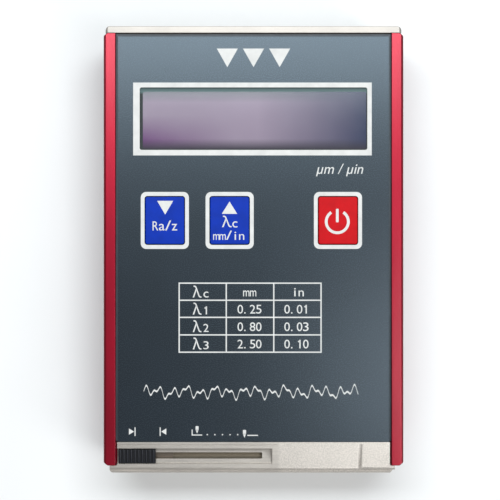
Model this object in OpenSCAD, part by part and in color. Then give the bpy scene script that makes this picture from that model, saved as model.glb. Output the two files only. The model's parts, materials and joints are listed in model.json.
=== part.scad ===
// Pocket surface roughness tester. A red extruded case is closed by two silver end caps.
// The front panel has a display and three keys. A ridged slider in the lower cap moves a shutter
// that uncovers the window in the measuring base, where a stylus pick-up is drawn along X.
// The part lies on its back: +Z points out of the front panel and +Y to the display end.

/* [Case] */
// Width over the two red rails
case_w = 71; // [69:0.5:80]
// Length over both end caps
case_l = 106; // [102:1:120]
// Thickness from the back to the rails
case_h = 24; // [23:0.5:28]
// Width of each rail seen from the front
rail_w = 2.9; // [2.6:0.1:3.4]
// Thickness of the side walls
wall = 2.1; // [1.8:0.1:2.4]
// Thickness of the back wall
back_t = 2; // [1.5:0.1:2.4]
// Radius of the two long back edges
back_r = 3; // [1:0.5:4]
// Radius of the rails' outer edges
rail_edge_r = 0.7; // [0.3:0.1:1]
// Chamfer at the rails' ends, across the rail
rail_end_cut_w = 1; // [0.2:0.1:1.2]
// Chamfer at the rails' ends, along the rail
rail_end_cut_l = 0.7; // [0.2:0.1:1]
// Outer radius of the screw channels
channel_r = 2.3; // [2:0.1:2.5]
// Radius of the holes in the screw channels
channel_bore_r = 1.25; // [1:0.05:1.4]

/* [Front panel] */
// Thickness of the front plate
plate_t = 1.5; // [1.2:0.1:2]
// Thickness of the printed overlay
overlay_t = 0.5; // [0.3:0.1:0.6]
// Depth of the overlay below the rails
overlay_drop = 0.5; // [0.3:0.1:0.8]
// Gap between the overlay and the rails
overlay_gap = 0.5; // [0.2:0.05:0.6]
// Gap between the overlay and the top cap
overlay_top_gap = 0.85; // [0.4:0.05:1]
// Width of the display opening
display_w = 53.9; // [50:0.1:54.5]
// Height of the display opening
display_l = 14.8; // [12:0.1:16]
// Distance of the display's middle from the top end
display_from_top = 21.9; // [20:0.1:26]
// Corner radius of the display opening
display_r = 0.5; // [0.2:0.1:1.5]
// Overlap of the window under the overlay
window_overlap = 0.6; // [0.3:0.1:1]
// Thickness of the window
window_t = 1.1; // [0.8:0.1:1.2]

/* [Keys] */
// Width of a key
key_w = 9.2; // [8:0.1:10]
// Length of a key
key_l = 11.2; // [9:0.1:12]
// Corner radius of a key
key_r = 0.5; // [0.3:0.1:1.5]
// Height of the keys over the overlay
key_proud = 0.3; // [0.2:0.05:0.5]
// Press travel of a key
key_travel = 0.3; // [0.2:0.05:0.35]
// Distance of the keys' middle from the top end
keys_from_top = 46; // [45:0.1:48]
// Sideways place of the down key
key_down_x = -21; // [-21.5:0.1:-20]
// Sideways place of the up key
key_up_x = -5.65; // [-7:0.05:-4]
// Sideways place of the power key
key_power_x = 20; // [18:0.1:21]

/* [Top cap] */
// Thickness of the top cap's plate
top_t = 1.6; // [1.4:0.1:2.4]
// Corner radius of the top cap's plate
top_corner_r = 1.1; // [0.4:0.1:1.4]
// Inset of the top cap from the rails' sides
top_inset = 0.4; // [0.3:0.1:1]
// Length of the top cap's plug inside the case
plug_l = 4.5; // [3:0.5:5]

/* [Measuring base] */
// Thickness of the base flange
base_t = 2; // [1.8:0.1:2.6]
// Length of the silver apron
apron_l = 7.5; // [7.2:0.1:8]
// Thickness of the apron
apron_t = 2; // [1.8:0.1:2.2]
// Inset of the base from the left side
base_inset_left = 1.4; // [1:0.1:1.8]
// Inset of the base from the right side
base_inset_right = 2; // [1.6:0.1:2.1]
// Rounding of the base's front edge
base_edge_r = 1.6; // [0.5:0.1:1.8]
// Wall left behind the shutter
shutter_wall = 0.8; // [0.6:0.1:0.9]

/* [Slider] */
// Length of the ridged knob
knob_l = 8.8; // [7:0.1:10]
// Width of the ridged knob
knob_w = 3.2; // [2.6:0.1:3.6]
// Height of the knob over the apron
knob_proud = 0.7; // [0.4:0.1:1]
// Number of ridges on the knob
knob_ridges = 10; // [6:1:12]
// Travel of the slider
slider_travel = 27.4; // [22:0.2:28]
// Distance of the slider's slot from the bottom end
slot_from_end = 4.2; // [4:0.05:4.4]
// Width of the slider's slot
slot_w = 1.5; // [1.2:0.1:1.8]
// Corner radius of the slot and of the post that runs in it
slot_corner_r = 0.25; // [0.1:0.05:0.4]
// Depth of the slider's recess
recess_depth = 0.9; // [0.6:0.1:1]
// Thickness of the shutter's sheet
sheet_t = 0.5; // [0.3:0.1:0.6]

/* [Pick-up and drive] */
// Traverse of the stylus
traverse = 6; // [4:0.5:6]
// Distance of the stylus from the left rail at rest
stylus_from_rail = 4.6; // [4.4:0.1:6]
// Length of the stylus window
stylus_window_l = 11; // [9:0.2:11.4]
// Width of the stylus window
stylus_window_w = 4.4; // [3.6:0.1:5.4]
// Height of the pick-up's axis over the middle of the screw channels
pickup_rise = 0.75; // [0.4:0.05:1]
// Distance from the stylus to the pick-up's pivot
arm_l = 20; // [18:0.5:21]
// Radius of the pick-up tube
arm_r = 1.6; // [1.4:0.1:1.8]
// Distance of the raised stylus from the shutter
stylus_lift = 1.5; // [1.4:0.1:2]
// Reach of the stylus from the arm's axis
stylus_reach = 4.3; // [4.1:0.1:4.6]
// Radius of the skid
skid_r = 1.4; // [1.2:0.1:1.6]
// Radius of the lead screw
screw_r = 1.5; // [1.2:0.1:1.7]
// Radius of the guide rods
rod_r = 1.25; // [1:0.05:1.4]
// Diameter of the motor and its gearbox
motor_d = 10; // [9:0.5:10.5]
// Length of the gearbox
gearbox_l = 8; // [6:0.5:9]

/* [Inside] */
// Thickness of the circuit boards
board_t = 1.4; // [1:0.1:1.6]
// Gap between the front plate and the boards
board_gap = 2.1; // [2:0.1:2.4]
// Battery width
battery_w = 50; // [40:1:52]
// Battery length
battery_l = 34; // [28:1:40]
// Battery thickness
battery_t = 9; // [6:0.5:10]
// Pad under the battery
pad_t = 0.5; // [0.3:0.1:1]

/* [Fits] */
// Gap between pieces that slide past each other
slide_gap = 0.2; // [0.15:0.05:0.25]
// Radial gap of a turning or running fit
run_gap = 0.05; // [0.02:0.01:0.08]
// Radial gap of a fixed pin or screw in its hole
pin_gap = 0.02; // [0.01:0.01:0.05]

/* [Hidden] */
$fn = 40;
eps = 0.01;
cut_margin = 1;

// Case faces
half_w = case_w / 2;
y_top = case_l / 2;
y_bot = -case_l / 2;
case_y0 = y_bot + base_t;
case_y1 = y_top - top_t;
inner_x = half_w - wall;
lip_x = half_w - rail_w;

// Heights of the front panel's layers
overlay_z1 = case_h - overlay_drop;
overlay_z0 = overlay_z1 - overlay_t;
plate_z0 = overlay_z0 - plate_t;
ledge_t = 1.2;
ledge_w = 1.6;
plate_gap = 0.1;
ledge_z0 = plate_z0 - ledge_t;

// Screw channels of the case
channel_in = 4;
channel_x = inner_x - channel_in;
channel_rise = 0.2;
channel_drop = 1;
channel_low_z = back_t + channel_r + channel_rise;
channel_high_z = ledge_z0 - channel_r - channel_drop;
channel_web = 2.4;
clear_x = channel_x - channel_r - slide_gap;
screw_l = 7;
screw_head_r = 2;
screw_head_h = 1;
screw_cross_l = 2.2;
screw_cross_w = 0.5;
screw_cross_depth = 0.6;
screw_gap = 0.1;
CHANNELS = [for (side = [-1, 1], z = [channel_low_z, channel_high_z]) [side * channel_x, z]];

// Front panel places
plate_y0 = y_bot + apron_l + slide_gap;
plate_y1 = case_y1 - slide_gap;
overlay_x = lip_x - overlay_gap;
overlay_lap = 0.1;
overlay_y0 = plate_y0 - overlay_lap;
overlay_y1 = case_y1 - overlay_top_gap;
display_y = y_top - display_from_top;
window_w = display_w + 2 * window_overlap;
window_l = display_l + 2 * window_overlap;
keys_y = y_top - keys_from_top;
key_flange = 0.7;
key_flange_t = 0.5;
key_hole_gap = 0.2;
key_z1 = overlay_z1 + key_proud;
key_rest_gap = 0.1;
key_flange_z0 = plate_z0 - key_rest_gap - key_flange_t;
key_stem_l = 0.15;

// Boards hung on bosses under the front plate
board_z1 = plate_z0 - board_gap;
board_z0 = board_z1 - board_t;
boss_r = 2;
boss_bore_r = 0.75;
boss_space = 0.8;
boss_skin = 0.4;
board_hole_gap = 0.15;
board_side_gap = 0.5;
oled_side = 0.6;
oled_end = 2.3;
oled_glass_gap = 0.1;
oled_driver_l = 2;
oled_w = min(window_w + 2 * oled_side, 2 * (inner_x - ledge_w - slide_gap));
oled_l = window_l + 2 * oled_end;
oled_board_w = 2 * (clear_x - board_side_gap);
oled_board_l = oled_l + 2 * (2 * boss_r + boss_space);
oled_glass_t = board_gap - oled_glass_gap;
board_space = 0.6;
main_board_w = oled_board_w;
main_board_y1 = display_y - oled_board_l / 2 - board_space;
boss_inset = 2.4;
link_w = 16;
link_l = 8;
link_t = 0.6;
board_screw_head_r = 1.3;
board_screw_head_h = 0.9;
board_screw_short = 0.1;

// Chips and buzzer under the main board, placed from the keys
chip_w = 14;
chip_t = 1.4;
chip_from_keys = 15;
side_chips_x = 16.5;
driver_w = 7;
driver_l = 6;
driver_t = 1.2;
driver_from_keys = 17;
memory_w = 5;
memory_l = 4;
memory_t = 1;
memory_from_keys = 8;
buzzer_r = 4.8;
buzzer_h = 4;
buzzer_x = 15;
buzzer_from_keys = 16;
buzzer_hole_r = 0.9;
buzzer_hole_depth = 1;

// Switches under the keys
switch_w = 6;
switch_t = 1;
plunger_r = 1.5;
plunger_t = 0.5;
plunger_side_gap = 0.15;
plunger_top_gap = 0.05;
plunger_foot_gap = 0.1;
plunger_z1 = key_flange_z0 - key_stem_l - plunger_top_gap;
plunger_well = key_travel + plunger_foot_gap;

// Top cap and charge socket
socket_w = 9;
socket_t = 3.3;
socket_l = 7.4;
socket_wall = 0.35;
socket_z = 9.8;
socket_set_back = 0.5;
socket_side = 0.2;
socket_corner_r = (socket_t - socket_side) / 2;
socket_floor = 1;
socket_tongue_w = 6.6;
socket_tongue_t = 0.7;
socket_tongue_root = 0.1;
socket_tongue_short = 0.8;
shelf_w = 22;
shelf_t = 1.6;
charge_board_t = 1.6;
charge_board_l = 12;
charge_board_side = 1;
charge_board_end_gap = 0.3;
charge_board_z1 = socket_z - socket_t / 2;
plug_wall = 1.5;
plug_top_gap = 2;
floor_gap = 0.1;
cap_back_inset = 0.3;
cap_front_inset = 0.4;
cap_r_inset = 0.4;
cap_back_r = back_r - cap_r_inset;

// Measuring base, apron and the channel for the shutter
apron_z1 = overlay_z1;
apron_z0 = apron_z1 - apron_t;
apron_side_gap = 0.3;
apron_x = lip_x - apron_side_gap;
apron_y1 = y_bot + apron_l;
base_x0 = -half_w + base_inset_left;
base_x1 = half_w - base_inset_right;
base_z0 = cap_back_inset;
base_front_r = 0.3;
base_corner_cut = 1.1;
base_corner_step = 0.1;
recess_z = apron_z1 - recess_depth;
slot_y = y_bot + slot_from_end;
recess_gap = 0.2;
recess_w = knob_w + 2 * recess_gap;
knob_from_rail = 0.65;
knob_foot_gap = 0.1;
knob_ridge_share = 0.36;
knob_x0 = -lip_x + knob_from_rail;
knob_x1 = knob_x0 + knob_l;
recess_x1 = knob_x1 + slider_travel + slide_gap;
post_w = slot_w - 2 * slide_gap;
post_in_left = 2;
post_in_right = 2.4;
post_past_recess = 0.2;
post_l = knob_l - post_in_left - post_in_right;
post_x0 = knob_x0 + post_in_left;
slot_x0 = post_x0 - slide_gap;
slot_x1 = post_x0 + post_l + slider_travel + slide_gap;
bead_w = 0.5;
bead_groove_w = 0.3;
bead_groove_depth = 0.2;
bead_groove_past = 1;
crease_w = 1.2;
crease_depth = 0.18;
crease_x = 25.2;
guide_t = 1.3;
guide_gap = 0.2;
guide_short = 0.2;
guide_z1 = apron_z0 - sheet_t - 2 * slide_gap - guide_gap;
guide_x = clear_x;
tongue_t = 1.5;
tongue_z1 = back_t + floor_gap + tongue_t;

// Pick-up's axis, between the low and the high screw channels
pickup_z = (channel_low_z + channel_high_z) / 2 + pickup_rise;

// Shutter at rest, closed over the stylus window
shutter_gap = 0.1;
leaf_lap = 1.1;
leaf_left_lap = 0.8;
leaf_right_lap = 0.5;
web_in_left = 4.9;
web_in_right = 0.6;
run_in_left = 1.3;
run_in_right = 0.2;
run_past_slot = 2.2;
window_from_skid = 1.1;
shutter_y0 = y_bot + shutter_wall + shutter_gap;
shutter_y1 = shutter_y0 + sheet_t;
leaf_h = stylus_window_w + 2 * leaf_lap;
stylus_x = -lip_x + stylus_from_rail;
window_x0 = stylus_x - skid_r - window_from_skid;
window_x1 = window_x0 + stylus_window_l;
leaf_x0 = window_x0 - leaf_left_lap;
leaf_x1 = window_x1 + leaf_right_lap;
web_x0 = leaf_x0 + web_in_left;
web_x1 = leaf_x1 - web_in_right;
run_z1 = apron_z0 - slide_gap;
run_z0 = run_z1 - sheet_t;
run_x0 = leaf_x0 + run_in_left;
run_y1 = slot_y + run_past_slot;

// Pick-up arm, drawn raised behind the shutter
tip_y = shutter_y1 + stylus_lift;
arm_y = tip_y + stylus_reach;
pivot_x = stylus_x + arm_l;
barrel_r = 2.1;
barrel_h = 3.8;
arm_wall = 0.45;
arm_end = 1.8;
arm_end_t = 0.5;
arm_root = 3.5;
arm_in_barrel = 0.5;
arm_bore_r = arm_r - arm_wall;
arm_bore_x1 = pivot_x - arm_root;
pivot_pin_r = 0.8;
lever_t = 0.7;
lever_pin_r = 0.4;
lever_pin_share = 0.7;
lever_pin_short = 0.1;
lever_pin_x = stylus_x + lever_pin_share * arm_l;
lever_eye_r = 0.8;
piezo_l = 1;
piezo_w = 1.2;
piezo_t = 1;
piezo_gap = 0.3;
stylus_shaft_r = 0.35;
stylus_shaft_gap = 0.02;
stylus_cone = 0.5;
stylus_cone_step = 0.04;
stylus_point_r = 0.05;
skid_bore_r = 0.55;
skid_seat = 1.15;
skid_behind_tip = 0.1;
skid_top_y = arm_y - skid_seat;
skid_y = tip_y + skid_behind_tip;

// Carriage on its rods and screw
carriage_l = 8;
carriage_x0 = pivot_x - carriage_l / 2;
carriage_x1 = carriage_x0 + carriage_l;
barrel_gap = 0.7;
carriage_y0 = arm_y + barrel_r + barrel_gap;
rod_span = 10;
rod_edge = 2;
rod_y0 = carriage_y0 + rod_edge;
rod_y1 = rod_y0 + rod_span;
carriage_y1 = rod_y1 + rod_edge;
screw_y = (rod_y0 + rod_y1) / 2;
frame_z0 = tongue_z1;
frame_t = 1.4;
motor_z0 = frame_z0 + frame_t;
screw_z = motor_z0 + motor_d / 2;
rod_rise = 5.5;
carriage_foot_gap = 1;
carriage_top = 0.5;
rod_z = screw_z + rod_rise;
carriage_z0 = motor_z0 + carriage_foot_gap;
carriage_z1 = rod_z + rod_edge + carriage_top;
fork_t = 1.9;
fork_gap = 0.1;
fork_w = 6;
fork_short = 0.2;
fork_reach = barrel_r - fork_short;
nut_r = 2.6;
nut_flange_r = 3.6;
nut_flange_t = 0.8;

// Drive frame, motor and sensors
end_clear = 2.2;
end_closer = 0.2;
ear_t = 1.8;
ear_front_gap = 0.1;
ear_back_reach = 0.4;
ear_left_x1 = carriage_x0 - end_clear;
ear_left_x0 = ear_left_x1 - ear_t;
ear_right_x0 = carriage_x1 + traverse + end_clear - end_closer;
ear_right_x1 = ear_right_x0 + ear_t;
ear_y0 = carriage_y0 + ear_front_gap;
ear_y1 = carriage_y1 + ear_back_reach;
ear_z1 = carriage_z1;
motor_side = 1;
motor_boss_r = 2.5;
motor_boss_l = 1;
motor_w = motor_d + 2 * motor_side;
motor_x0 = ear_right_x1 + gearbox_l;
motor_x1 = clear_x;
bush_wall = 0.9;
journal_step = 0.25;
journal_overlap = 0.1;
screw_left_gap = 0.2;
screw_right_gap = 0.4;
screw_ear_gap = 0.4;
bush_r = screw_r + bush_wall;
journal_r = screw_r - journal_step;
gear_bore_l = 2.5;
gear_end_gap = 0.3;
sensor_gap = 0.3;
sensor_from_screw = 0.7;
sensor_t = end_clear - sensor_gap;
sensor_w = 3.6;
sensor_h = 4;
frame_screw_r = 0.8;
frame_screw_head_r = 1.5;
frame_screw_head_h = 0.8;
frame_screw_in = 2;
frame_screw_foot_gap = 0.3;
FRAME_SCREWS = [for (x = [ear_left_x1 + frame_screw_in, ear_right_x0 - frame_screw_in],
    y = [rod_y0, rod_y1]) [x, y]];
leaf_spring_t = 0.2;
leaf_spring_w = 2;
leaf_spring_gap = 0.15;
leaf_spring_reach = 4;
leaf_spring_foot = 0.6;
leaf_spring_bend = 0.2;

// Boards' and battery's lower ends stay above the drive
board_from_drive = 1;
battery_from_drive = 2.5;
pad_inset = 3;
main_board_y0 = ear_y1 + board_from_drive;
battery_y0 = ear_y1 + battery_from_drive;

// Bosses that carry the boards: four round the display, four under the keys
BOSSES = [for (sx = [-1, 1], y = [display_y - oled_board_l / 2 + boss_inset,
        display_y + oled_board_l / 2 - boss_inset, main_board_y0 + boss_inset,
        keys_y - key_l / 2 - key_flange - boss_r - board_space])
    [sx * (oled_board_w / 2 - boss_inset), y]];

// Shared shapes

// A block between two corners, each range given as [low, high]
module span(x, y, z) {
    translate([x[0], y[0], z[0]])
        cube([x[1] - x[0], y[1] - y[0], z[1] - z[0]]);
}

// A flat rectangle with round corners
module round_rect(w, l, r) {
    square([w - 2 * r, l], center = true);
    square([w, l - 2 * r], center = true);
    for (sx = [-1, 1], sy = [-1, 1])
        translate([sx * (w / 2 - r), sy * (l / 2 - r)])
            circle(r);
}

// Draws an XZ section from y0 to y1
module along_y(y0, y1) {
    translate([0, y1, 0])
        rotate([90, 0, 0])
            linear_extrude(y1 - y0)
                children();
}

// Draws a YZ section from x0 to x1
module along_x(x0, x1) {
    translate([x0, 0, 0])
        rotate([90, 0, 90])
            linear_extrude(x1 - x0)
                children();
}

// A round bar along X
module bar_x(x0, x1, y, z, r) {
    translate([x0, y, z])
        rotate([0, 90, 0])
            cylinder(h = x1 - x0, r = r);
}

// A round bar along Y
module bar_y(y0, y1, x, z, r) {
    translate([x, y0, z])
        rotate([-90, 0, 0])
            cylinder(h = y1 - y0, r = r);
}

// A round bar along Z
module bar_z(z0, z1, x, y, r) {
    translate([x, y, z0])
        cylinder(h = z1 - z0, r = r);
}

// Outline of the case or a cap seen from its end
module end_outline(x0, x1, z0, z1, low_r, high_r) {
    translate([x0 + low_r, z0])
        square([x1 - x0 - 2 * low_r, low_r]);
    translate([x0, z0 + low_r])
        square([x1 - x0, z1 - z0 - low_r - high_r]);
    translate([x0 + high_r, z1 - high_r - eps])
        square([x1 - x0 - 2 * high_r, high_r + eps]);
    for (x = [x0 + low_r, x1 - low_r])
        translate([x, z0 + low_r])
            circle(low_r);
    for (x = [x0 + high_r, x1 - high_r])
        translate([x, z1 - high_r])
            circle(high_r);
}

// A countersunk, cross-headed cap screw along Y, with its head at the end face
module cap_screw(y_face, inward, x, z) {
    translate([x, y_face, z])
        rotate([inward > 0 ? -90 : 90, 0, 0])
            difference() {
                union() {
                    cylinder(h = screw_head_h, r1 = screw_head_r, r2 = channel_bore_r - run_gap);
                    cylinder(h = screw_l, r = channel_bore_r - run_gap);
                }
                for (turn = [0, 90])
                    rotate(turn)
                        translate([-screw_cross_l / 2, -screw_cross_w / 2, -eps])
                            cube([screw_cross_l, screw_cross_w, screw_cross_depth + eps]);
            }
}

// The clearance hole of a cap screw
module cap_screw_hole(y_face, inward, x, z) {
    translate([x, y_face, z])
        rotate([inward > 0 ? -90 : 90, 0, 0]) {
            translate([0, 0, -eps])
                cylinder(h = screw_head_h + eps, r1 = screw_head_r + screw_gap,
                    r2 = channel_bore_r + screw_gap);
            cylinder(h = screw_l, r = channel_bore_r + screw_gap);
        }
}

// Case

module case_section() {
    difference() {
        union() {
            difference() {
                end_outline(-half_w, half_w, 0, case_h, back_r, rail_edge_r);
                translate([-inner_x, back_t])
                    square([2 * inner_x, ledge_z0 - back_t]);
                translate([ledge_w - inner_x, ledge_z0 - eps])
                    square([2 * (inner_x - ledge_w), ledge_t + 2 * eps]);
                translate([-inner_x, plate_z0])
                    square([2 * inner_x, plate_t + plate_gap]);
                translate([-lip_x, overlay_z0])
                    square([2 * lip_x, case_h]);
            }
            for (c = CHANNELS)
                translate(c)
                    circle(channel_r);
            for (c = CHANNELS, side = [sign(c[0])])
                translate([side > 0 ? c[0] : -inner_x - eps, c[1] - channel_web / 2])
                    square([channel_in + eps, channel_web]);
            for (side = [-1, 1])
                translate([side * channel_x - channel_web / 2, back_t - eps])
                    square([channel_web, channel_low_z - back_t]);
        }
        for (c = CHANNELS)
            translate(c)
                circle(channel_bore_r);
    }
}

module case_channel() {
    color("#b8283c")
        intersection() {
            along_y(case_y0, case_y1)
                case_section();
            linear_extrude(case_h)
                polygon([for (sy = [-1, 1], p = [[1, 1, 0], [1, 0, 1], [-1, 0, 1], [-1, 1, 0]])
                    [sy * p[0] * (half_w - rail_end_cut_w * p[2]),
                        (sy > 0 ? case_y1 - rail_end_cut_l * p[1] : case_y0 + rail_end_cut_l * p[1])]]);
        }
}

// Front panel

module key_places() {
    for (x = [key_down_x, key_up_x, key_power_x])
        translate([x, keys_y])
            children();
}

module front_plate() {
    color("#23272b")
        difference() {
            union() {
                span([slide_gap - inner_x, inner_x - slide_gap], [plate_y0, plate_y1],
                    [plate_z0, overlay_z0]);
                for (b = BOSSES)
                    bar_z(board_z1, plate_z0 + eps, b[0], b[1], boss_r);
            }
            translate([0, display_y, plate_z0 - eps])
                linear_extrude(plate_t + 2 * eps)
                    square([window_w + 2 * run_gap, window_l + 2 * run_gap], center = true);
            translate([0, 0, plate_z0 - eps])
                linear_extrude(plate_t + 2 * eps)
                    key_places()
                        round_rect(key_w + 2 * key_hole_gap, key_l + 2 * key_hole_gap,
                            key_r + key_hole_gap);
            for (b = BOSSES)
                bar_z(board_z1 - eps, overlay_z0 - boss_skin, b[0], b[1], boss_bore_r);
        }
}

module overlay() {
    color("#525d68")
        translate([0, 0, overlay_z0])
            linear_extrude(overlay_t)
                difference() {
                    translate([-overlay_x, overlay_y0])
                        square([2 * overlay_x, overlay_y1 - overlay_y0]);
                    translate([0, display_y])
                        round_rect(display_w, display_l, display_r);
                    key_places()
                        round_rect(key_w + 2 * key_hole_gap, key_l + 2 * key_hole_gap,
                            key_r + key_hole_gap);
                }
}

module display_window() {
    color("#8a87a0")
        translate([0, display_y, overlay_z0 - window_t])
            linear_extrude(window_t)
                square([window_w, window_l], center = true);
}

module oled_panel() {
    color("#3c3848")
        difference() {
            translate([0, display_y, board_z1])
                linear_extrude(oled_glass_t)
                    square([oled_w, oled_l], center = true);
            // The cover glass is shorter than the backing glass at the driver's edge
            span([-oled_w, oled_w], [display_y - oled_l, display_y - oled_l / 2 + oled_driver_l],
                [board_z1 + oled_glass_t / 2, plate_z0]);
        }
}

module board_blank(w, y0, y1, bosses) {
    difference() {
        span([-w / 2, w / 2], [y0, y1], [board_z0, board_z1]);
        for (b = bosses)
            bar_z(board_z0 - eps, board_z1 + eps, b[0], b[1], boss_bore_r + board_hole_gap);
    }
}

module oled_board() {
    color("#1f5a3a")
        board_blank(oled_board_w, display_y - oled_board_l / 2, display_y + oled_board_l / 2, BOSSES);
}

module main_board() {
    color("#1f5a3a")
        board_blank(main_board_w, main_board_y0, main_board_y1, BOSSES);
}

// Flat link between the two boards
module display_link() {
    color("#b8b09a")
        span([-link_w / 2, link_w / 2],
            [main_board_y1 + board_space / 2 - link_l / 2, main_board_y1 + board_space / 2 + link_l / 2],
            [board_z0 - link_t, board_z0]);
}

// A block soldered under the main board
module under_board(x, y, w, l, t) {
    span([x - w / 2, x + w / 2], [y - l / 2, y + l / 2], [board_z0 - t, board_z0]);
}

module board_chips() {
    color("#2a2a2c") {
        under_board(0, keys_y - chip_from_keys, chip_w, chip_w, chip_t);
        under_board(-side_chips_x, keys_y - driver_from_keys, driver_w, driver_l, driver_t);
        under_board(-side_chips_x, keys_y - memory_from_keys, memory_w, memory_l, memory_t);
    }
}

module board_screws() {
    color("#c8c8cc")
        for (b = BOSSES) {
            bar_z(board_z0 - board_screw_head_h, board_z0, b[0], b[1], board_screw_head_r);
            bar_z(board_z0 - eps, board_z1 + board_gap - board_screw_short, b[0], b[1],
                boss_bore_r - pin_gap);
        }
}

module buzzer() {
    color("#202022")
        difference() {
            bar_z(board_z0 - buzzer_h, board_z0, buzzer_x, keys_y - buzzer_from_keys, buzzer_r);
            bar_z(board_z0 - buzzer_h - eps, board_z0 - buzzer_h + buzzer_hole_depth, buzzer_x,
                keys_y - buzzer_from_keys, buzzer_hole_r);
        }
}

module switch_bodies() {
    color("#2c2c30")
        difference() {
            translate([0, 0, board_z1])
                linear_extrude(switch_t)
                    key_places()
                        square(switch_w, center = true);
            translate([0, 0, plunger_z1 - plunger_t - plunger_well])
                linear_extrude(board_gap)
                    key_places()
                        circle(plunger_r + plunger_side_gap);
        }
}

module key_at(x) {
    translate([x, keys_y, 0]) {
        translate([0, 0, key_flange_z0 + key_flange_t - eps])
            linear_extrude(key_z1 - key_flange_z0 - key_flange_t + eps)
                round_rect(key_w, key_l, key_r);
        translate([0, 0, key_flange_z0])
            linear_extrude(key_flange_t)
                round_rect(key_w + 2 * key_flange, key_l + 2 * key_flange, key_r);
        bar_z(key_flange_z0 - key_stem_l, key_flange_z0 + eps, 0, 0, plunger_r);
    }
}

module plunger_at(x) {
    color("#8c8c90")
        bar_z(plunger_z1 - plunger_t, plunger_z1, x, keys_y, plunger_r);
}

module key_down() {
    color("#2440b8")
        key_at(key_down_x);
}

module key_up() {
    color("#2440b8")
        key_at(key_up_x);
}

module key_power() {
    color("#d8222e")
        key_at(key_power_x);
}

module plunger_down() {
    plunger_at(key_down_x);
}

module plunger_up() {
    plunger_at(key_up_x);
}

module plunger_power() {
    plunger_at(key_power_x);
}

// Battery and charging

module battery() {
    color("#9aa2ac")
        span([-battery_w / 2, battery_w / 2], [battery_y0, battery_y0 + battery_l],
            [back_t + pad_t, back_t + pad_t + battery_t]);
}

module battery_pad() {
    color("#3a3a3c")
        span([-battery_w / 2 + pad_inset, battery_w / 2 - pad_inset],
            [battery_y0 + pad_inset, battery_y0 + battery_l - pad_inset], [back_t, back_t + pad_t]);
}

module charge_board() {
    color("#1f5a3a")
        span([charge_board_side - shelf_w / 2, shelf_w / 2 - charge_board_side],
            [case_y1 - charge_board_l, case_y1 - charge_board_end_gap],
            [charge_board_z1 - charge_board_t, charge_board_z1]);
}

module charge_socket() {
    floor_y = case_y1 - socket_l + socket_floor;
    color("#c4c6ca")
        translate([0, 0, socket_z]) {
            difference() {
                along_y(case_y1 - socket_l, y_top - socket_set_back)
                    round_rect(socket_w, socket_t, socket_corner_r);
                along_y(floor_y, y_top)
                    round_rect(socket_w - 2 * socket_wall, socket_t - 2 * socket_wall,
                        socket_corner_r - socket_wall);
            }
            span([-socket_tongue_w / 2, socket_tongue_w / 2],
                [floor_y - socket_tongue_root, y_top - socket_set_back - socket_tongue_short],
                [-socket_tongue_t / 2, socket_tongue_t / 2]);
        }
}

// Top cap

module top_cap() {
    cap_x = half_w - top_inset;
    color("#dcdad5")
        difference() {
            union() {
                intersection() {
                    along_y(case_y1, y_top)
                        end_outline(-cap_x, cap_x, cap_back_inset, case_h - cap_front_inset,
                            cap_back_r, rail_edge_r);
                    translate([0, y_top - case_l / 2, 0])
                        linear_extrude(case_h)
                            round_rect(2 * cap_x, case_l, top_corner_r);
                }
                // Plug inside the case, open at its middle
                difference() {
                    span([-clear_x, clear_x], [case_y1 - plug_l, case_y1 + eps],
                        [back_t + floor_gap, board_z0 - plug_top_gap]);
                    span([plug_wall - clear_x, clear_x - plug_wall], [case_y1 - plug_l - eps, case_y1],
                        [back_t + plug_wall, board_z0]);
                }
                // Shelf for the charging board
                span([-shelf_w / 2, shelf_w / 2], [case_y1 - charge_board_l, case_y1 + eps],
                    [charge_board_z1 - charge_board_t - shelf_t, charge_board_z1 - charge_board_t]);
            }
            along_y(case_y1 - eps, y_top + eps)
                translate([0, socket_z])
                    round_rect(socket_w + 2 * slide_gap, socket_t + 2 * slide_gap,
                        socket_corner_r + slide_gap);
            for (c = CHANNELS)
                cap_screw_hole(y_top, -1, c[0], c[1]);
        }
}

module top_screws() {
    color("#b4b4b8")
        for (c = CHANNELS)
            cap_screw(y_top, -1, c[0], c[1]);
}

// Measuring base

// The base seen from the front, with a round left corner and a cut right corner
module base_plan() {
    polygon([[base_x0 + base_corner_cut, y_bot], [base_x1 - base_corner_cut, y_bot],
        [base_x1, case_y0 - base_corner_step], [base_x1, case_y0],
        [base_x0, case_y0], [base_x0, y_bot + base_corner_cut]]);
    translate([base_x0 + base_corner_cut, y_bot + base_corner_cut])
        circle(base_corner_cut);
}

// Removes a long front edge so that it is round
module edge_round(x0, x1, y, z, r) {
    along_x(x0, x1)
        translate([y, z])
            difference() {
                translate([-cut_margin, -r])
                    square([r + cut_margin, r + cut_margin]);
                translate([r, -r])
                    circle(r);
            }
}

module slider_cuts() {
    // Shallow recess that the knob runs in
    span([-half_w, recess_x1], [slot_y - recess_w / 2, slot_y + recess_w / 2], [recess_z, case_h]);
    // Slot for the knob's post
    translate([0, 0, apron_z0 - eps])
        linear_extrude(apron_t)
            translate([(slot_x0 + slot_x1) / 2, slot_y])
                round_rect(slot_x1 - slot_x0, slot_w, slot_corner_r);
}

module shutter_cuts() {
    pocket_y = [shutter_y0 - shutter_gap, case_y0 + eps];
    end_x = leaf_x1 + slider_travel + slide_gap;
    span([leaf_x0 - slide_gap, end_x], pocket_y,
        [pickup_z - leaf_h / 2 - slide_gap, pickup_z + leaf_h / 2 + slide_gap]);
    span([web_x0 - slide_gap, web_x1 + slider_travel + slide_gap], pocket_y,
        [pickup_z + leaf_h / 2, apron_z0]);
    span([run_x0 - slide_gap, end_x], pocket_y, [guide_z1, apron_z0]);
    // Window for the stylus
    span([window_x0, window_x1], [y_bot - eps, y_bot + base_t],
        [pickup_z - stylus_window_w / 2, pickup_z + stylus_window_w / 2]);
}

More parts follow.
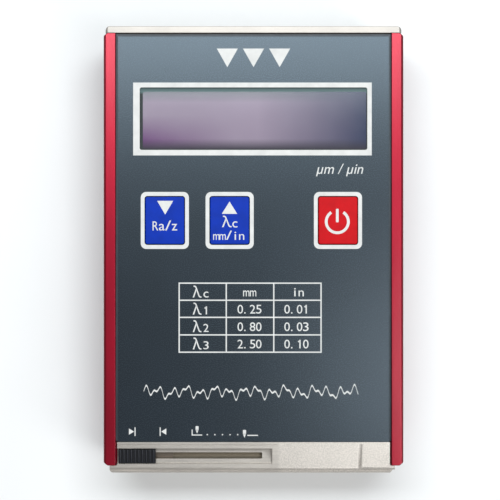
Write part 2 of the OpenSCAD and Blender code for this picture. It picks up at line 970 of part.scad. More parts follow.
module bottom_cap() {
    color("#cfcbc4")
        difference() {
            union() {
                intersection() {
                    along_y(y_bot, case_y0)
                        end_outline(base_x0, base_x1, base_z0, apron_z1, cap_back_r, base_front_r);
                    linear_extrude(case_h)
                        base_plan();
                }
                // Apron between the rails, beside the front plate
                span([-apron_x, apron_x], [case_y0 - eps, apron_y1], [apron_z0, apron_z1]);
                span([-apron_x, base_x1], [y_bot + base_t / 2, case_y0], [apron_z0, apron_z1]);
                // Guide under the shutter's run
                span([-guide_x, guide_x], [case_y0 - eps, apron_y1 - guide_short],
                    [guide_z1 - guide_t, guide_z1]);
                // Tongue that carries the drive
                span([-clear_x, clear_x], [case_y0 - eps, ear_y1], [back_t + floor_gap, tongue_z1]);
            }
            edge_round(base_x0 - cut_margin, base_x1 + cut_margin, y_bot, apron_z1, base_edge_r);
            slider_cuts();
            shutter_cuts();
            // Fine groove below the bead along the apron's edge
            span([-half_w, recess_x1 + bead_groove_past],
                [apron_y1 - bead_w - bead_groove_w, apron_y1 - bead_w],
                [apron_z1 - bead_groove_depth, case_h]);
            // Shallow crease beside the right-hand pad
            along_y(y_bot - eps, apron_y1 - bead_w)
                translate([crease_x, apron_z1])
                    polygon([[-crease_w, crease_depth], [0, -crease_depth], [crease_w, crease_depth]]);
            for (c = CHANNELS)
                cap_screw_hole(y_bot, 1, c[0], c[1]);
            for (p = FRAME_SCREWS)
                bar_z(back_t, frame_z0 + eps, p[0], p[1], frame_screw_r);
        }
}

module bottom_screws() {
    color("#b4b4b8")
        for (c = CHANNELS)
            cap_screw(y_bot, 1, c[0], c[1]);
}

// Slider and shutter

module slider_knob() {
    pitch = knob_l / knob_ridges;
    knob_top = apron_z1 + knob_proud;
    ridge_r = knob_ridge_share * pitch;
    foot_z = recess_z + knob_foot_gap;
    color("#2a2d31")
        union() {
            along_y(slot_y - knob_w / 2, slot_y + knob_w / 2) {
                translate([knob_x0, foot_z])
                    square([knob_l, knob_top - ridge_r - foot_z]);
                for (i = [0 : knob_ridges - 1])
                    translate([knob_x0 + (i + 0.5) * pitch, knob_top - ridge_r])
                        circle(ridge_r);
            }
            // Post through the slot
            translate([post_x0 + post_l / 2, slot_y, run_z1])
                linear_extrude(recess_z + post_past_recess - run_z1)
                    round_rect(post_l, post_w, slot_corner_r);
        }
}

module shutter() {
    color("#9c948a")
        union() {
            span([leaf_x0, leaf_x1], [shutter_y0, shutter_y1],
                [pickup_z - leaf_h / 2, pickup_z + leaf_h / 2]);
            span([web_x0, web_x1], [shutter_y0, shutter_y1], [pickup_z + leaf_h / 2 - eps, run_z1]);
            span([run_x0, leaf_x1 - run_in_right], [shutter_y0, run_y1], [run_z0, run_z1]);
        }
}

// Drive

module rod_bores(x0, x1, r) {
    for (y = [rod_y0, rod_y1])
        bar_x(x0, x1, y, rod_z, r);
}

module drive_frame() {
    color("#b9bcc0")
        difference() {
            union() {
                span([ear_left_x0, motor_x1], [ear_y0, ear_y1], [frame_z0, motor_z0]);
                span([ear_left_x0, ear_left_x1], [ear_y0, ear_y1], [frame_z0, ear_z1]);
                span([ear_right_x0, ear_right_x1], [ear_y0, ear_y1], [frame_z0, ear_z1]);
            }
            rod_bores(ear_left_x0 - eps, ear_right_x1 + eps, rod_r + pin_gap);
            bar_x(ear_left_x0 - eps, ear_left_x1 + eps, screw_y, screw_z, bush_r + pin_gap);
            bar_x(ear_right_x0 - eps, ear_right_x1 + eps, screw_y, screw_z, screw_r + screw_ear_gap);
            for (p = FRAME_SCREWS) {
                bar_z(frame_z0 - eps, motor_z0 + eps, p[0], p[1], frame_screw_r + screw_gap);
                translate([p[0], p[1], motor_z0 - frame_screw_head_h])
                    cylinder(h = frame_screw_head_h + eps, r1 = frame_screw_r + screw_gap,
                        r2 = frame_screw_head_r + screw_gap);
            }
        }
}

module frame_screws() {
    color("#b4b4b8")
        for (p = FRAME_SCREWS) {
            bar_z(back_t + frame_screw_foot_gap, motor_z0 - eps, p[0], p[1], frame_screw_r - pin_gap);
            translate([p[0], p[1], motor_z0 - frame_screw_head_h])
                cylinder(h = frame_screw_head_h, r1 = frame_screw_r - pin_gap, r2 = frame_screw_head_r);
        }
}

module front_guide_rod() {
    color("#d2d4d8")
        bar_x(ear_left_x0, ear_right_x1, rod_y0, rod_z, rod_r);
}

module rear_guide_rod() {
    color("#d2d4d8")
        bar_x(ear_left_x0, ear_right_x1, rod_y1, rod_z, rod_r);
}

module lead_screw() {
    thick_x0 = ear_left_x1 + screw_left_gap;
    thick_x1 = ear_right_x1 - screw_right_gap;
    color("#c8c2b4")
        union() {
            bar_x(ear_left_x0, thick_x0 + journal_overlap, screw_y, screw_z, journal_r);
            bar_x(thick_x0, thick_x1, screw_y, screw_z, screw_r);
            bar_x(thick_x1 - journal_overlap, ear_right_x1 + gear_bore_l - gear_end_gap,
                screw_y, screw_z, journal_r);
        }
}

module screw_bush() {
    color("#b8863c")
        difference() {
            bar_x(ear_left_x0, ear_left_x1, screw_y, screw_z, bush_r);
            bar_x(ear_left_x0 - eps, ear_left_x1 + eps, screw_y, screw_z, journal_r + run_gap);
        }
}

// Flat-sided round section of the motor and its gearbox
module motor_section() {
    translate([screw_y, screw_z])
        intersection() {
            circle(motor_w / 2);
            square([motor_w, motor_d], center = true);
        }
}

module gearbox() {
    color("#c0a468")
        difference() {
            along_x(ear_right_x1, motor_x0)
                translate([screw_y, screw_z])
                    square([motor_w, motor_d], center = true);
            bar_x(ear_right_x1 - eps, ear_right_x1 + gear_bore_l, screw_y, screw_z, journal_r + run_gap);
        }
}

module motor() {
    can_x1 = motor_x1 - motor_boss_l;
    color("#a8acb0")
        union() {
            along_x(motor_x0, can_x1)
                motor_section();
            bar_x(can_x1 - eps, motor_x1, screw_y, screw_z, motor_boss_r);
        }
}

module limit_switches() {
    sensor_y0 = screw_y + screw_r + sensor_from_screw;
    sensor_y = [sensor_y0, sensor_y0 + sensor_w];
    sensor_z = [motor_z0, motor_z0 + sensor_h];
    color("#26262a") {
        span([ear_left_x1, ear_left_x1 + sensor_t], sensor_y, sensor_z);
        span([ear_right_x0 - sensor_t + end_closer, ear_right_x0], sensor_y, sensor_z);
    }
}

module carriage() {
    color("#aeb2b6")
        difference() {
            union() {
                span([carriage_x0, carriage_x1], [carriage_y0, carriage_y1], [carriage_z0, carriage_z1]);
                for (side = [-1, 1])
                    translate([0, 0, pickup_z + side * (barrel_h / 2 + fork_gap + fork_t / 2)])
                        span([pivot_x - fork_w / 2, pivot_x + fork_w / 2],
                            [arm_y - fork_reach, carriage_y0 + eps], [-fork_t / 2, fork_t / 2]);
            }
            rod_bores(carriage_x0 - eps, carriage_x1 + eps, rod_r + run_gap);
            bar_x(carriage_x0 - eps, carriage_x1 + eps, screw_y, screw_z, nut_r + pin_gap);
            bar_x(carriage_x1 - nut_flange_t, carriage_x1 + eps, screw_y, screw_z,
                nut_flange_r + pin_gap);
            bar_z(carriage_z0, carriage_z1, pivot_x, arm_y, pivot_pin_r + pin_gap);
        }
}

module drive_nut() {
    color("#b8863c")
        difference() {
            union() {
                bar_x(carriage_x0, carriage_x1, screw_y, screw_z, nut_r);
                bar_x(carriage_x1 - nut_flange_t, carriage_x1, screw_y, screw_z, nut_flange_r);
            }
            bar_x(carriage_x0 - eps, carriage_x1 + eps, screw_y, screw_z, screw_r + run_gap);
        }
}

// Pick-up

module pivot_pin() {
    pin_h = barrel_h + 2 * (fork_gap + fork_t);
    color("#d2d4d8")
        bar_z(pickup_z - pin_h / 2, pickup_z + pin_h / 2, pivot_x, arm_y, pivot_pin_r);
}

// Flat spring under the carriage that presses the arm down
module arm_spring() {
    free_y = arm_y + arm_r + leaf_spring_gap;
    foot_y = carriage_y0;
    foot_x = pivot_x - leaf_spring_foot;
    bend_x = carriage_x0 + leaf_spring_bend;
    free_x = carriage_x0 - leaf_spring_reach;
    color("#8e9298")
        translate([0, 0, pickup_z - leaf_spring_w / 2])
            linear_extrude(leaf_spring_w)
                polygon([[foot_x, foot_y], [bend_x, foot_y],
                    [free_x, free_y + leaf_spring_t], [free_x, free_y],
                    [bend_x, foot_y - leaf_spring_t], [foot_x, foot_y - leaf_spring_t]]);
}

module pickup_arm() {
    color("#c6c8cc")
        difference() {
            union() {
                bar_z(pickup_z - barrel_h / 2, pickup_z + barrel_h / 2, pivot_x, arm_y, barrel_r);
                bar_x(stylus_x - arm_end, pivot_x - arm_in_barrel, arm_y, pickup_z, arm_r);
            }
            bar_x(stylus_x - arm_end + arm_end_t, arm_bore_x1, arm_y, pickup_z, arm_bore_r);
            bar_z(pickup_z - barrel_h, pickup_z + barrel_h, pivot_x, arm_y, pivot_pin_r + run_gap);
            bar_y(arm_y - 2 * arm_r, arm_y, stylus_x, pickup_z, skid_r + pin_gap);
            bar_z(pickup_z - 2 * arm_r, pickup_z + 2 * arm_r, lever_pin_x, arm_y,
                lever_pin_r + pin_gap);
        }
}

// Round-nosed skid with the stylus in its middle
module skid() {
    nose_r = skid_r - skid_bore_r;
    color("#7a1e2c")
        translate([stylus_x, skid_y, pickup_z])
            rotate([-90, 0, 0])
                rotate_extrude()
                    union() {
                        translate([skid_bore_r, nose_r])
                            square([nose_r, skid_top_y - skid_y - nose_r]);
                        intersection() {
                            translate([skid_bore_r, nose_r])
                                circle(nose_r);
                            translate([skid_bore_r, 0])
                                square([nose_r, nose_r + eps]);
                        }
                    }
}

module lever_pin() {
    color("#d2d4d8")
        bar_z(pickup_z - arm_r + lever_pin_short, pickup_z + arm_r - lever_pin_short,
            lever_pin_x, arm_y, lever_pin_r);
}

module piezo_element() {
    color("#d8c890")
        span([arm_bore_x1 - piezo_l, arm_bore_x1], [arm_y - piezo_w / 2, arm_y + piezo_w / 2],
            [pickup_z - piezo_t / 2, pickup_z + piezo_t / 2]);
}

module stylus_lever() {
    color("#e0d8c0")
        difference() {
            union() {
                span([stylus_x - lever_t / 2, arm_bore_x1 - piezo_l - piezo_gap],
                    [arm_y - lever_t / 2, arm_y + lever_t / 2],
                    [pickup_z - lever_t / 2, pickup_z + lever_t / 2]);
                bar_z(pickup_z - lever_t / 2, pickup_z + lever_t / 2, lever_pin_x, arm_y, lever_eye_r);
                bar_y(tip_y + stylus_cone - eps, arm_y, stylus_x, pickup_z,
                    stylus_shaft_r - stylus_shaft_gap);
            }
            bar_z(pickup_z - lever_t, pickup_z + lever_t, lever_pin_x, arm_y, lever_pin_r + run_gap);
        }
}

module stylus_tip() {
    color("#f0f0f4")
        translate([stylus_x, tip_y + stylus_cone - eps, pickup_z])
            rotate([90, 0, 0])
                cylinder(h = stylus_cone - eps, r1 = stylus_shaft_r - stylus_cone_step,
                    r2 = stylus_point_r);
}

case_channel();
front_plate();
overlay();
display_window();
oled_panel();
oled_board();
display_link();
main_board();
board_chips();
board_screws();
buzzer();
switch_bodies();
key_down();
key_up();
key_power();
plunger_down();
plunger_up();
plunger_power();
battery();
battery_pad();
charge_board();
charge_socket();
top_cap();
top_screws();
bottom_cap();
bottom_screws();
slider_knob();
shutter();
drive_frame();
frame_screws();
front_guide_rod();
rear_guide_rod();
lead_screw();
screw_bush();
gearbox();
motor();
limit_switches();
carriage();
drive_nut();
pivot_pin();
arm_spring();
pickup_arm();
skid();
lever_pin();
piezo_element();
stylus_lever();
stylus_tip();
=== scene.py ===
import json
import math
from collections import namedtuple

import bmesh
import bpy
from bpy.props import FloatProperty, FloatVectorProperty, PointerProperty
from mathutils import Color, Matrix, Vector

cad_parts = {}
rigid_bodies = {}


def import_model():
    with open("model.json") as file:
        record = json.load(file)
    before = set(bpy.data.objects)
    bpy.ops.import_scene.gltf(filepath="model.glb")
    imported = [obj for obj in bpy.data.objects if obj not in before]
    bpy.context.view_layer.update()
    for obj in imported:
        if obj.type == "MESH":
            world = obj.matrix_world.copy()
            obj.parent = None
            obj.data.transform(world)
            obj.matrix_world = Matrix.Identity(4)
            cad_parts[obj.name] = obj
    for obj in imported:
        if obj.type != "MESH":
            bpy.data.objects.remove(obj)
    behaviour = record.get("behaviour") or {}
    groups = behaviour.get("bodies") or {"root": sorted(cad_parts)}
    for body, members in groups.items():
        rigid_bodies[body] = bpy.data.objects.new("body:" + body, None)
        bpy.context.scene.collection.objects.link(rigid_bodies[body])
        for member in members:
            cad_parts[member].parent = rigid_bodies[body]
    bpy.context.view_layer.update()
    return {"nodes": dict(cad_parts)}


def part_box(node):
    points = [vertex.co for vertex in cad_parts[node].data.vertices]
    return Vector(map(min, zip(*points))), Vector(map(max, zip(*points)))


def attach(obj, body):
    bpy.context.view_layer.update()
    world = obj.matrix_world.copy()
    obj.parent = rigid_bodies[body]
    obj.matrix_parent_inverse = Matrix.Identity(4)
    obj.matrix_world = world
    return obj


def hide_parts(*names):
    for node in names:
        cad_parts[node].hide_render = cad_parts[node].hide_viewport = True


bl_info = {
    "name": "Surface Roughness Tester",
    "version": (1, 0, 0),
    "blender": (4, 5, 0),
    "location": "View3D > Sidebar > Tester",
    "description": "Finishes, panel print and studio of a pocket surface roughness tester",
    "category": "Object",
}

for leftover in list(bpy.data.objects):
    bpy.data.objects.remove(leftover)
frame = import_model()

MM = 0.001
# Points of a CAD node nearer than this, in metres, are one
MERGE = 1e-7
# Points of a letter about one unit high that are nearer than this are one
LETTER_MERGE = 2e-3
# Faces that meet at more than the first angle have an edge, and at less than the second are one
SHARP = math.radians(35)
FLAT = math.radians(0.5)
# Turns of a triangle in degrees anticlockwise
UP, LEFT, DOWN, RIGHT = 0, 90, 180, -90

# The lengths named below are in millimetres, +X to the right and +Y to the display end.
# Widths round a rectangle are given as left, right, foot and head.

# Display
WINDOW_OVERLAP = 0.6
DISPLAY_CORNER = 0.5
DISPLAY_FRAME_WIDTHS = (1.55, 1.05, 1.3, 1.15)
DISPLAY_MASK_WIDTHS = (0.7, 0.2, 0.25, 0.95)

# Painted reflection and painted shade on the display's glass: the X where the painted reflection starts
# to darken to blue towards the right end, and the reach of the others from the edges of the clear field
GLASS_RIGHT_REFLECTION_START = 1.0
GLASS_CORNER_REFLECTION_REACH = (22.0, 8.0)
GLASS_CORNER_REFLECTION_FULL = 2.0
GLASS_FOOT_SHADE_REACH = 2.4
GLASS_HEAD_SHADE_REACH = 2.6
GLASS_HEAD_SHADE_STRENGTH = 0.8
BORDER_SHEEN_BLUR = 0.6
BORDER_SHEEN_STRENGTH = (1.0, 0.4)

# Keys
KEY_FLANGE = 0.7
KEY_HOLE_GAP = 0.2
KEY_HOLE_CORNER = 0.7
KEY_BORDER_WIDTHS = (0.9, 0.9, 0.95, 0.95)
KEY_BORDER_CORNER = 1.3
KEY_TOP_DEPTH = 0.3

# Table of cut-off lengths
TABLE_COLUMNS = (-17.6, -6.45, 4.8, 16.0)
TABLE_ROWS = (-7.85, -11.9, -15.95, -20.1, -24.2)
TABLE_WORDS = (
    ("c", "mm", "in"),
    ("1", "0.25", "0.01"),
    ("2", "0.80", "0.03"),
    ("3", "2.50", "0.10"),
)

# Surface finish triangles and the profile trace, whose waves are share, rate and start
FINISH_MARKS_X = (-6.2, 0.0, 6.2)
FINISH_MARK_Y = (43.3, 47.7)
FINISH_MARK_W = 5.0
TRACE = ((-26.0, 24.8), (-35.8, -31.5))
TRACE_STEPS = 254
TRACE_WAVES = ((0.45, 1.9, 0.0), (0.3, 3.7, 1.0), (0.25, 0.8, 2.0))

# Marks of the measured range: X of the bar, ends of the arrow from there, and its turn
RANGE_MARKS = ((-28.05, (-1.45, -0.25), RIGHT), (-22.1, (0.25, 1.45), LEFT))
RANGE_BAR_W = 0.24
RANGE_BAR_Y = (-44.05, -42.0)
RANGE_ARROW_Y = (-43.75, -42.25)

# Height and width of small letters and signs beside those of a capital
SIGN_SIZES = {
    "a": (0.72, 1.0),
    "c": (0.72, 0.95),
    "i": (0.96, 0.3),
    "m": (0.68, 1.15),
    "n": (0.68, 0.95),
    "z": (0.72, 0.95),
    "/": (1.1, 1.05),
}
# The full stop and the numeral one are plain forms; the stop's shift is a share of the pitch, and
# the heights of the numeral's flag are shares of its own height
DOT = 0.32
DOT_CORNER = 0.06
DOT_SHIFT = 0.25
ONE_STEM = (-0.06, 0.24)
ONE_FLAG_REACH = 0.44
ONE_FLAG_HEIGHTS = (0.62, 0.97)

# Silver base: the end of the milled field along X, and depths below the front; the slot's values place
# its painted shade
MILLED_END = (6.4, 5.6)
MILLED_DEPTH = (1.2, 1.0)
SLOT_SHADE_DEPTH = (1.0, 1.9)
SLOT_SHADE_INSET = 0.2
SLOT_SHADE_BLUR = 0.1

# Wear and pattern of the finishes. A contrast is a part of a noise's range, and a shade a share of
# the finish's own colour. The speckle's strengths are those off and on the milled field.
SPECKLE_SIZE = 0.34
SPECKLE_CONTRAST = (0.36, 0.64)
SPECKLE_STRENGTH = (0.75, 0.2)
SPECKLE_SHADE = 1.16
STREAK_SIZE = 0.5
STREAK_STRETCH = (14.0, 1.0, 1.0)
STREAK_CONTRAST = (0.4, 0.65)
STREAK_STRENGTH = 0.35
STREAK_SHADE = 0.86
# Depths of the painted shade in the cross of each screw's head
CROSS_SHADE_DEPTH = (0.08, 0.3)
KNOB_WEAR_DEPTH = 0.25
KNOB_WEAR_SIZE = 0.5
KNOB_WEAR_STRENGTH = 0.7
KNOB_WEAR_SHADE = 2.4
BOARD_RUN_SIZE = 0.8
BOARD_RUN_STRETCH = (6.0, 1.0, 1.0)
BOARD_RUN_CONTRAST = (0.52, 0.56)

# Linear tint of the overlay's reflections
OVERLAY_SHEEN = (0.72, 0.88, 1.0, 1.0)

# Screen colours of what is seldom changed
PLATE = (0.15, 0.18, 0.21)
DISPLAY_PANEL = (0.16, 0.14, 0.2)
BORDER_INK = (0.13, 0.16, 0.16)
BORDER_SHEEN = (0.3, 0.39, 0.39)
STEEL = (0.78, 0.78, 0.8)
SCREW_STEEL = (0.68, 0.68, 0.69)
# Painted shade in the cross of each screw's head
SCREW_CROSS_SHADE = (0.15, 0.15, 0.16)
# Painted shade in the slot, lighter at its foot and darker at its head
SLOT_SHADE_FOOT = (0.54, 0.5, 0.44)
SLOT_SHADE_HEAD = (0.32, 0.29, 0.24)
SHUTTER_STEEL = (0.4, 0.36, 0.32)
BOARD_GREEN = (0.1, 0.34, 0.2)
BOARD_RUNS = (0.2, 0.46, 0.28)

# Finishes of the parts inside by slot: name, screen colour, roughness and share of metal
INNER_FINISHES = {
    "flat_cable": ("Flat link", (0.72, 0.69, 0.6), (0.4, 0.5), 0.0),
    "black_plastic": ("Black part plastic", (0.14, 0.14, 0.15), (0.45, 0.6), 0.0),
    "battery_foil": ("Battery foil", (0.62, 0.65, 0.69), (0.25, 0.4), 0.6),
    "foam_pad": ("Foam pad", (0.2, 0.2, 0.21), (0.8, 0.95), 0.0),
    "bronze": ("Bronze", (0.7, 0.5, 0.25), (0.25, 0.4), 1.0),
    "ruby": ("Ruby", (0.5, 0.08, 0.14), (0.08, 0.15), 0.0),
    "piezo_ceramic": ("Piezo ceramic", (0.84, 0.78, 0.58), (0.5, 0.65), 0.0),
    "diamond": ("Diamond", (0.92, 0.93, 0.95), (0.05, 0.1), 0.0),
}
# Finishes of outer pieces that the parts inside share, by slot
SHARED_FINISHES = {
    "bright_steel": "Bright steel",
    "satin_silver": "Fine blasted silver",
    "knob_plastic": "Knob plastic",
}


# Settings


def colour_setting(name, description, red, green, blue):
    """A colour that the user picks as it looks on screen."""
    return FloatVectorProperty(
        name=name,
        description=description,
        subtype="COLOR_GAMMA",
        size=3,
        min=0.0,
        max=1.0,
        default=(red / 255, green / 255, blue / 255),
    )


def length_setting(name, description, millimetres):
    """A length in metres, given here in millimetres."""
    return FloatProperty(
        name=name,
        description=description,
        default=millimetres * MM,
        min=0.0,
        unit="LENGTH",
        subtype="DISTANCE",
        precision=5,
    )


def power_setting(name, description, watts):
    """The power of a light."""
    return FloatProperty(name=name, description=description, default=watts, min=0.0, unit="POWER")


class TesterFinishSettings(bpy.types.PropertyGroup):
    """Colours and edges of the tester's own pieces."""

    red: colour_setting("Anodised red", "Colour of the extruded case", 130, 8, 31)
    silver: colour_setting("Silver", "Colour of the blasted end caps", 170, 164, 157)
    slate: colour_setting("Slate", "Colour of the printed overlay", 24, 30, 36)
    blue: colour_setting("Key blue", "Colour of the two setting keys", 1, 43, 150)
    power: colour_setting("Key red", "Colour of the power key", 178, 1, 12)
    knob: colour_setting("Knob black", "Colour of the ridged slider knob", 12, 13, 17)
    # The glass colours paint the display's reflection: mauve over most of it, purple at the lower left
    # corner and darker blue at the right end. The head and foot colours are painted shade along its upper
    # and lower edges.
    glass: colour_setting("Glass", "Tint over most of the display", 128, 115, 131)
    glass_corner_reflection: colour_setting("Glass, corner", "Tint at the display's lower left corner", 92, 58, 100)
    glass_right_reflection: colour_setting("Glass, right", "Tint at the display's right end", 32, 42, 70)
    glass_head_shade: colour_setting("Glass, head", "Tint along the display's upper edge", 80, 88, 92)
    glass_foot_shade: colour_setting("Glass, foot", "Tint along the display's lower edge", 46, 43, 53)
    edge: length_setting("Edge", "Width of the caps' softened edges", 0.12)
    rail_edge: length_setting("Rail edge", "Width of the case's softened edges", 0.22)
    key_edge: length_setting("Key edge", "Width of the softened key edges", 0.2)
    knob_edge: length_setting("Knob edge", "Width of the softened knob edges", 0.1)


class TesterPrintSettings(bpy.types.PropertyGroup):
    """Ink of the printed marks."""

    ink: colour_setting("Ink", "Colour of the white print", 199, 198, 195)
    height: length_setting("Ink height", "Thickness of the printed ink", 0.02)
    sink: length_setting("Ink sink", "Depth of the ink in what carries it", 0.005)
    rule: length_setting("Rule", "Width of the table's lines", 0.3)
    trace: length_setting("Trace", "Width of the profile trace", 0.45)


class TesterStageSettings(bpy.types.PropertyGroup):
    """Floor, lights and camera."""

    floor: colour_setting("Floor", "Colour of the floor", 226, 226, 225)
    floor_reach: FloatProperty(
        name="Floor reach", description="Half of the floor's width", default=20.0, min=1.0, unit="LENGTH"
    )
    lens: FloatProperty(
        name="Lens", description="Focal length of the camera", default=85.0, min=20.0, unit="CAMERA"
    )
    view_width: length_setting("View width", "Width seen at the panel", 118.4)
    camera_x: FloatProperty(
        name="Camera X", description="Sideways place of the camera", default=-0.83 * MM, unit="LENGTH"
    )
    window_power: power_setting("Window light", "Power of the large light at the display end", 2.2)
    side_power: power_setting("Side light", "Power of the light at the right", 0.96)
    fill_power: power_setting("Fill light", "Power of the low light at the slider end", 0.42)
    room_light: FloatProperty(
        name="Room light", description="Strength of the even light of the room", default=0.34, min=0.0
    )


# Places


def flat_box(node):
    """The X and Y ranges of a CAD node in millimetres."""
    low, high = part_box(node)
    return (low.x / MM, high.x / MM), (low.y / MM, high.y / MM)


def widened(ranges, left, right, foot, head):
    """X and Y ranges with their ends moved outwards."""
    (x0, x1), (y0, y1) = ranges
    return (x0 - left, x1 + right), (y0 - foot, y1 + head)


def narrowed(ranges, left, right, foot, head):
    """X and Y ranges with their ends moved inwards."""
    return widened(ranges, -left, -right, -foot, -head)


def evenly(width):
    """The same width on all four sides."""
    return (width,) * 4


def display_opening():
    """The overlay's opening over the display's window."""
    return narrowed(flat_box("display_window"), *evenly(WINDOW_OVERLAP))


def display_mask():
    """The clear field inside the window's dark border."""
    return narrowed(display_opening(), *DISPLAY_MASK_WIDTHS)


# Flat marks


def rectangle(bm, x, y, corner=0.0):
    """A flat rectangle over two ranges in millimetres, with round corners."""
    made = bmesh.ops.create_grid(bm, x_segments=1, y_segments=1, size=0.5)["verts"]
    bmesh.ops.scale(bm, vec=((x[1] - x[0]) * MM, (y[1] - y[0]) * MM, 1.0), verts=made)
    bmesh.ops.translate(bm, vec=((x[0] + x[1]) / 2 * MM, (y[0] + y[1]) / 2 * MM, 0.0), verts=made)
    if corner:
        bmesh.ops.bevel(
            bm, geom=made, offset=corner * MM, offset_type="OFFSET", segments=6, profile=0.5,
            affect="VERTICES", material=-1,
        )


def pierced(bm, outer, holes):
    """A flat rectangle with holes; each is (x range, y range, corner)."""
    part = bmesh.new()
    for outline in (outer, *holes):
        rectangle(part, *outline)
    bmesh.ops.delete(part, geom=part.faces[:], context="FACES_ONLY")
    bmesh.ops.triangle_fill(part, use_beauty=True, edges=part.edges[:], normal=(0.0, 0.0, 1.0))
    join(bm, part)


def join(bm, part):
    """Adds the part to the bmesh and frees it."""
    mesh = bpy.data.meshes.new("part")
    part.to_mesh(mesh)
    part.free()
    bm.from_mesh(mesh)
    bpy.data.meshes.remove(mesh)


def fit(bm, verts, x, y):
    """Stretches flat vertices to two ranges in millimetres."""
    low = Vector((min(v.co.x for v in verts), min(v.co.y for v in verts), 0.0))
    high = Vector((max(v.co.x for v in verts), max(v.co.y for v in verts), 0.0))
    size = high - low
    bmesh.ops.translate(bm, vec=-low, verts=verts)
    bmesh.ops.scale(bm, vec=((x[1] - x[0]) * MM / size.x, (y[1] - y[0]) * MM / size.y, 1.0), verts=verts)
    bmesh.ops.translate(bm, vec=(x[0] * MM, y[0] * MM, 0.0), verts=verts)


def triangle(bm, x, y, turn):
    """A solid triangle over two ranges, turned from upright."""
    made = bmesh.ops.create_circle(bm, cap_ends=True, radius=MM, segments=3)["verts"]
    tip = max(made, key=lambda v: v.co.y)
    upright = math.atan2(tip.co.x, tip.co.y)
    pointing = Matrix.Rotation(math.radians(turn) + upright, 3, "Z")
    bmesh.ops.rotate(bm, cent=(0, 0, 0), matrix=pointing, verts=made)
    fit(bm, made, x, y)


def disc(bm, x, y, radius):
    """A solid dot."""
    place = Matrix.Translation((x * MM, y * MM, 0.0))
    bmesh.ops.create_circle(bm, cap_ends=True, radius=radius * MM, segments=20, matrix=place)


def arc(bm, centre, radius, stroke, start, sweep):
    """A flat arc, its angles in degrees anticlockwise from +X."""
    before = set(bm.verts)
    ends = [bm.verts.new((r * MM, 0.0, 0.0)) for r in (radius - stroke / 2, radius + stroke / 2)]
    edge = bm.edges.new(ends)
    first = Matrix.Rotation(math.radians(start), 3, "Z")
    bmesh.ops.rotate(bm, cent=(0, 0, 0), matrix=first, verts=ends)
    bmesh.ops.spin(
        bm, geom=[*ends, edge], cent=(0, 0, 0), axis=(0, 0, 1), angle=math.radians(sweep), steps=48,
        use_duplicate=False,
    )
    made = [v for v in bm.verts if v not in before]
    bmesh.ops.translate(bm, vec=(centre[0] * MM, centre[1] * MM, 0.0), verts=made)


def needle(bm, x, y, tip_share=0.45, corner=0.15, overlap=0.12):
    """A small stylus mark that points down."""
    shoulder = y[0] + (y[1] - y[0]) * tip_share
    rectangle(bm, x, (shoulder, y[1]), corner)
    triangle(bm, x, (y[0], shoulder + overlap), DOWN)


def words(bm, text, centre, height, width, slant=0.0):
    """Lettering whose own outline is centred and as high and wide as given, in millimetres."""
    curve = bpy.data.curves.new("lettering", "FONT")
    curve.body = text
    curve.shear = slant
    writer = bpy.data.objects.new("lettering", curve)
    bpy.context.scene.collection.objects.link(writer)
    bpy.context.view_layer.update()
    mesh = bpy.data.meshes.new_from_object(writer)
    bpy.data.objects.remove(writer)
    bpy.data.curves.remove(curve)
    part = bmesh.new()
    part.from_mesh(mesh)
    bpy.data.meshes.remove(mesh)
    bmesh.ops.remove_doubles(part, verts=part.verts[:], dist=LETTER_MERGE)
    x = (centre[0] - width / 2, centre[0] + width / 2)
    y = (centre[1] - height / 2, centre[1] + height / 2)
    fit(part, part.verts[:], x, y)
    join(bm, part)


def spaced(bm, text, centre, pitch, height, width):
    """Lettering in even cells, with capitals and numerals as high and wide as given, in millimetres."""
    low = centre[1] - height / 2
    for number, sign in enumerate(text):
        x = centre[0] + (number - (len(text) - 1) / 2) * pitch
        if sign == ".":
            dot_x = x - DOT_SHIFT * pitch
            rectangle(bm, (dot_x - DOT / 2, dot_x + DOT / 2), (low, low + DOT), DOT_CORNER)
        elif sign == "1":
            flag_low, flag_high = (low + share * height for share in ONE_FLAG_HEIGHTS)
            rectangle(bm, (x + ONE_STEM[0], x + ONE_STEM[1]), (low, low + height))
            triangle(bm, (x - ONE_FLAG_REACH, x), (flag_low, flag_high), LEFT)
        else:
            high, wide = SIGN_SIZES.get(sign, (1.0, 1.0))
            words(bm, sign, (x, low + high * height / 2), high * height, wide * width)


# Making pieces


def piece(name, bm, body, material):
    """A finished object made from the bmesh, riding on a body."""
    mesh = bpy.data.meshes.new(name)
    bm.to_mesh(mesh)
    bm.free()
    mesh.materials.append(material)
    made = bpy.data.objects.new(name, mesh)
    bpy.context.scene.collection.objects.link(made)
    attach(made, body)
    return made


def printed(name, bm, level, body, material):
    """Gives flat marks the ink's thickness at a level and lets them ride on a body."""
    ink = bpy.context.scene.tester_print
    bmesh.ops.recalc_face_normals(bm, faces=bm.faces[:])
    for face in bm.faces:
        if face.normal.z < 0:
            face.normal_flip()
    bmesh.ops.solidify(bm, geom=bm.faces[:], thickness=ink.height)
    lowest = min(v.co.z for v in bm.verts)
    bmesh.ops.translate(bm, vec=(0.0, 0.0, level - ink.sink - lowest), verts=bm.verts[:])
    piece(name, bm, body, material)


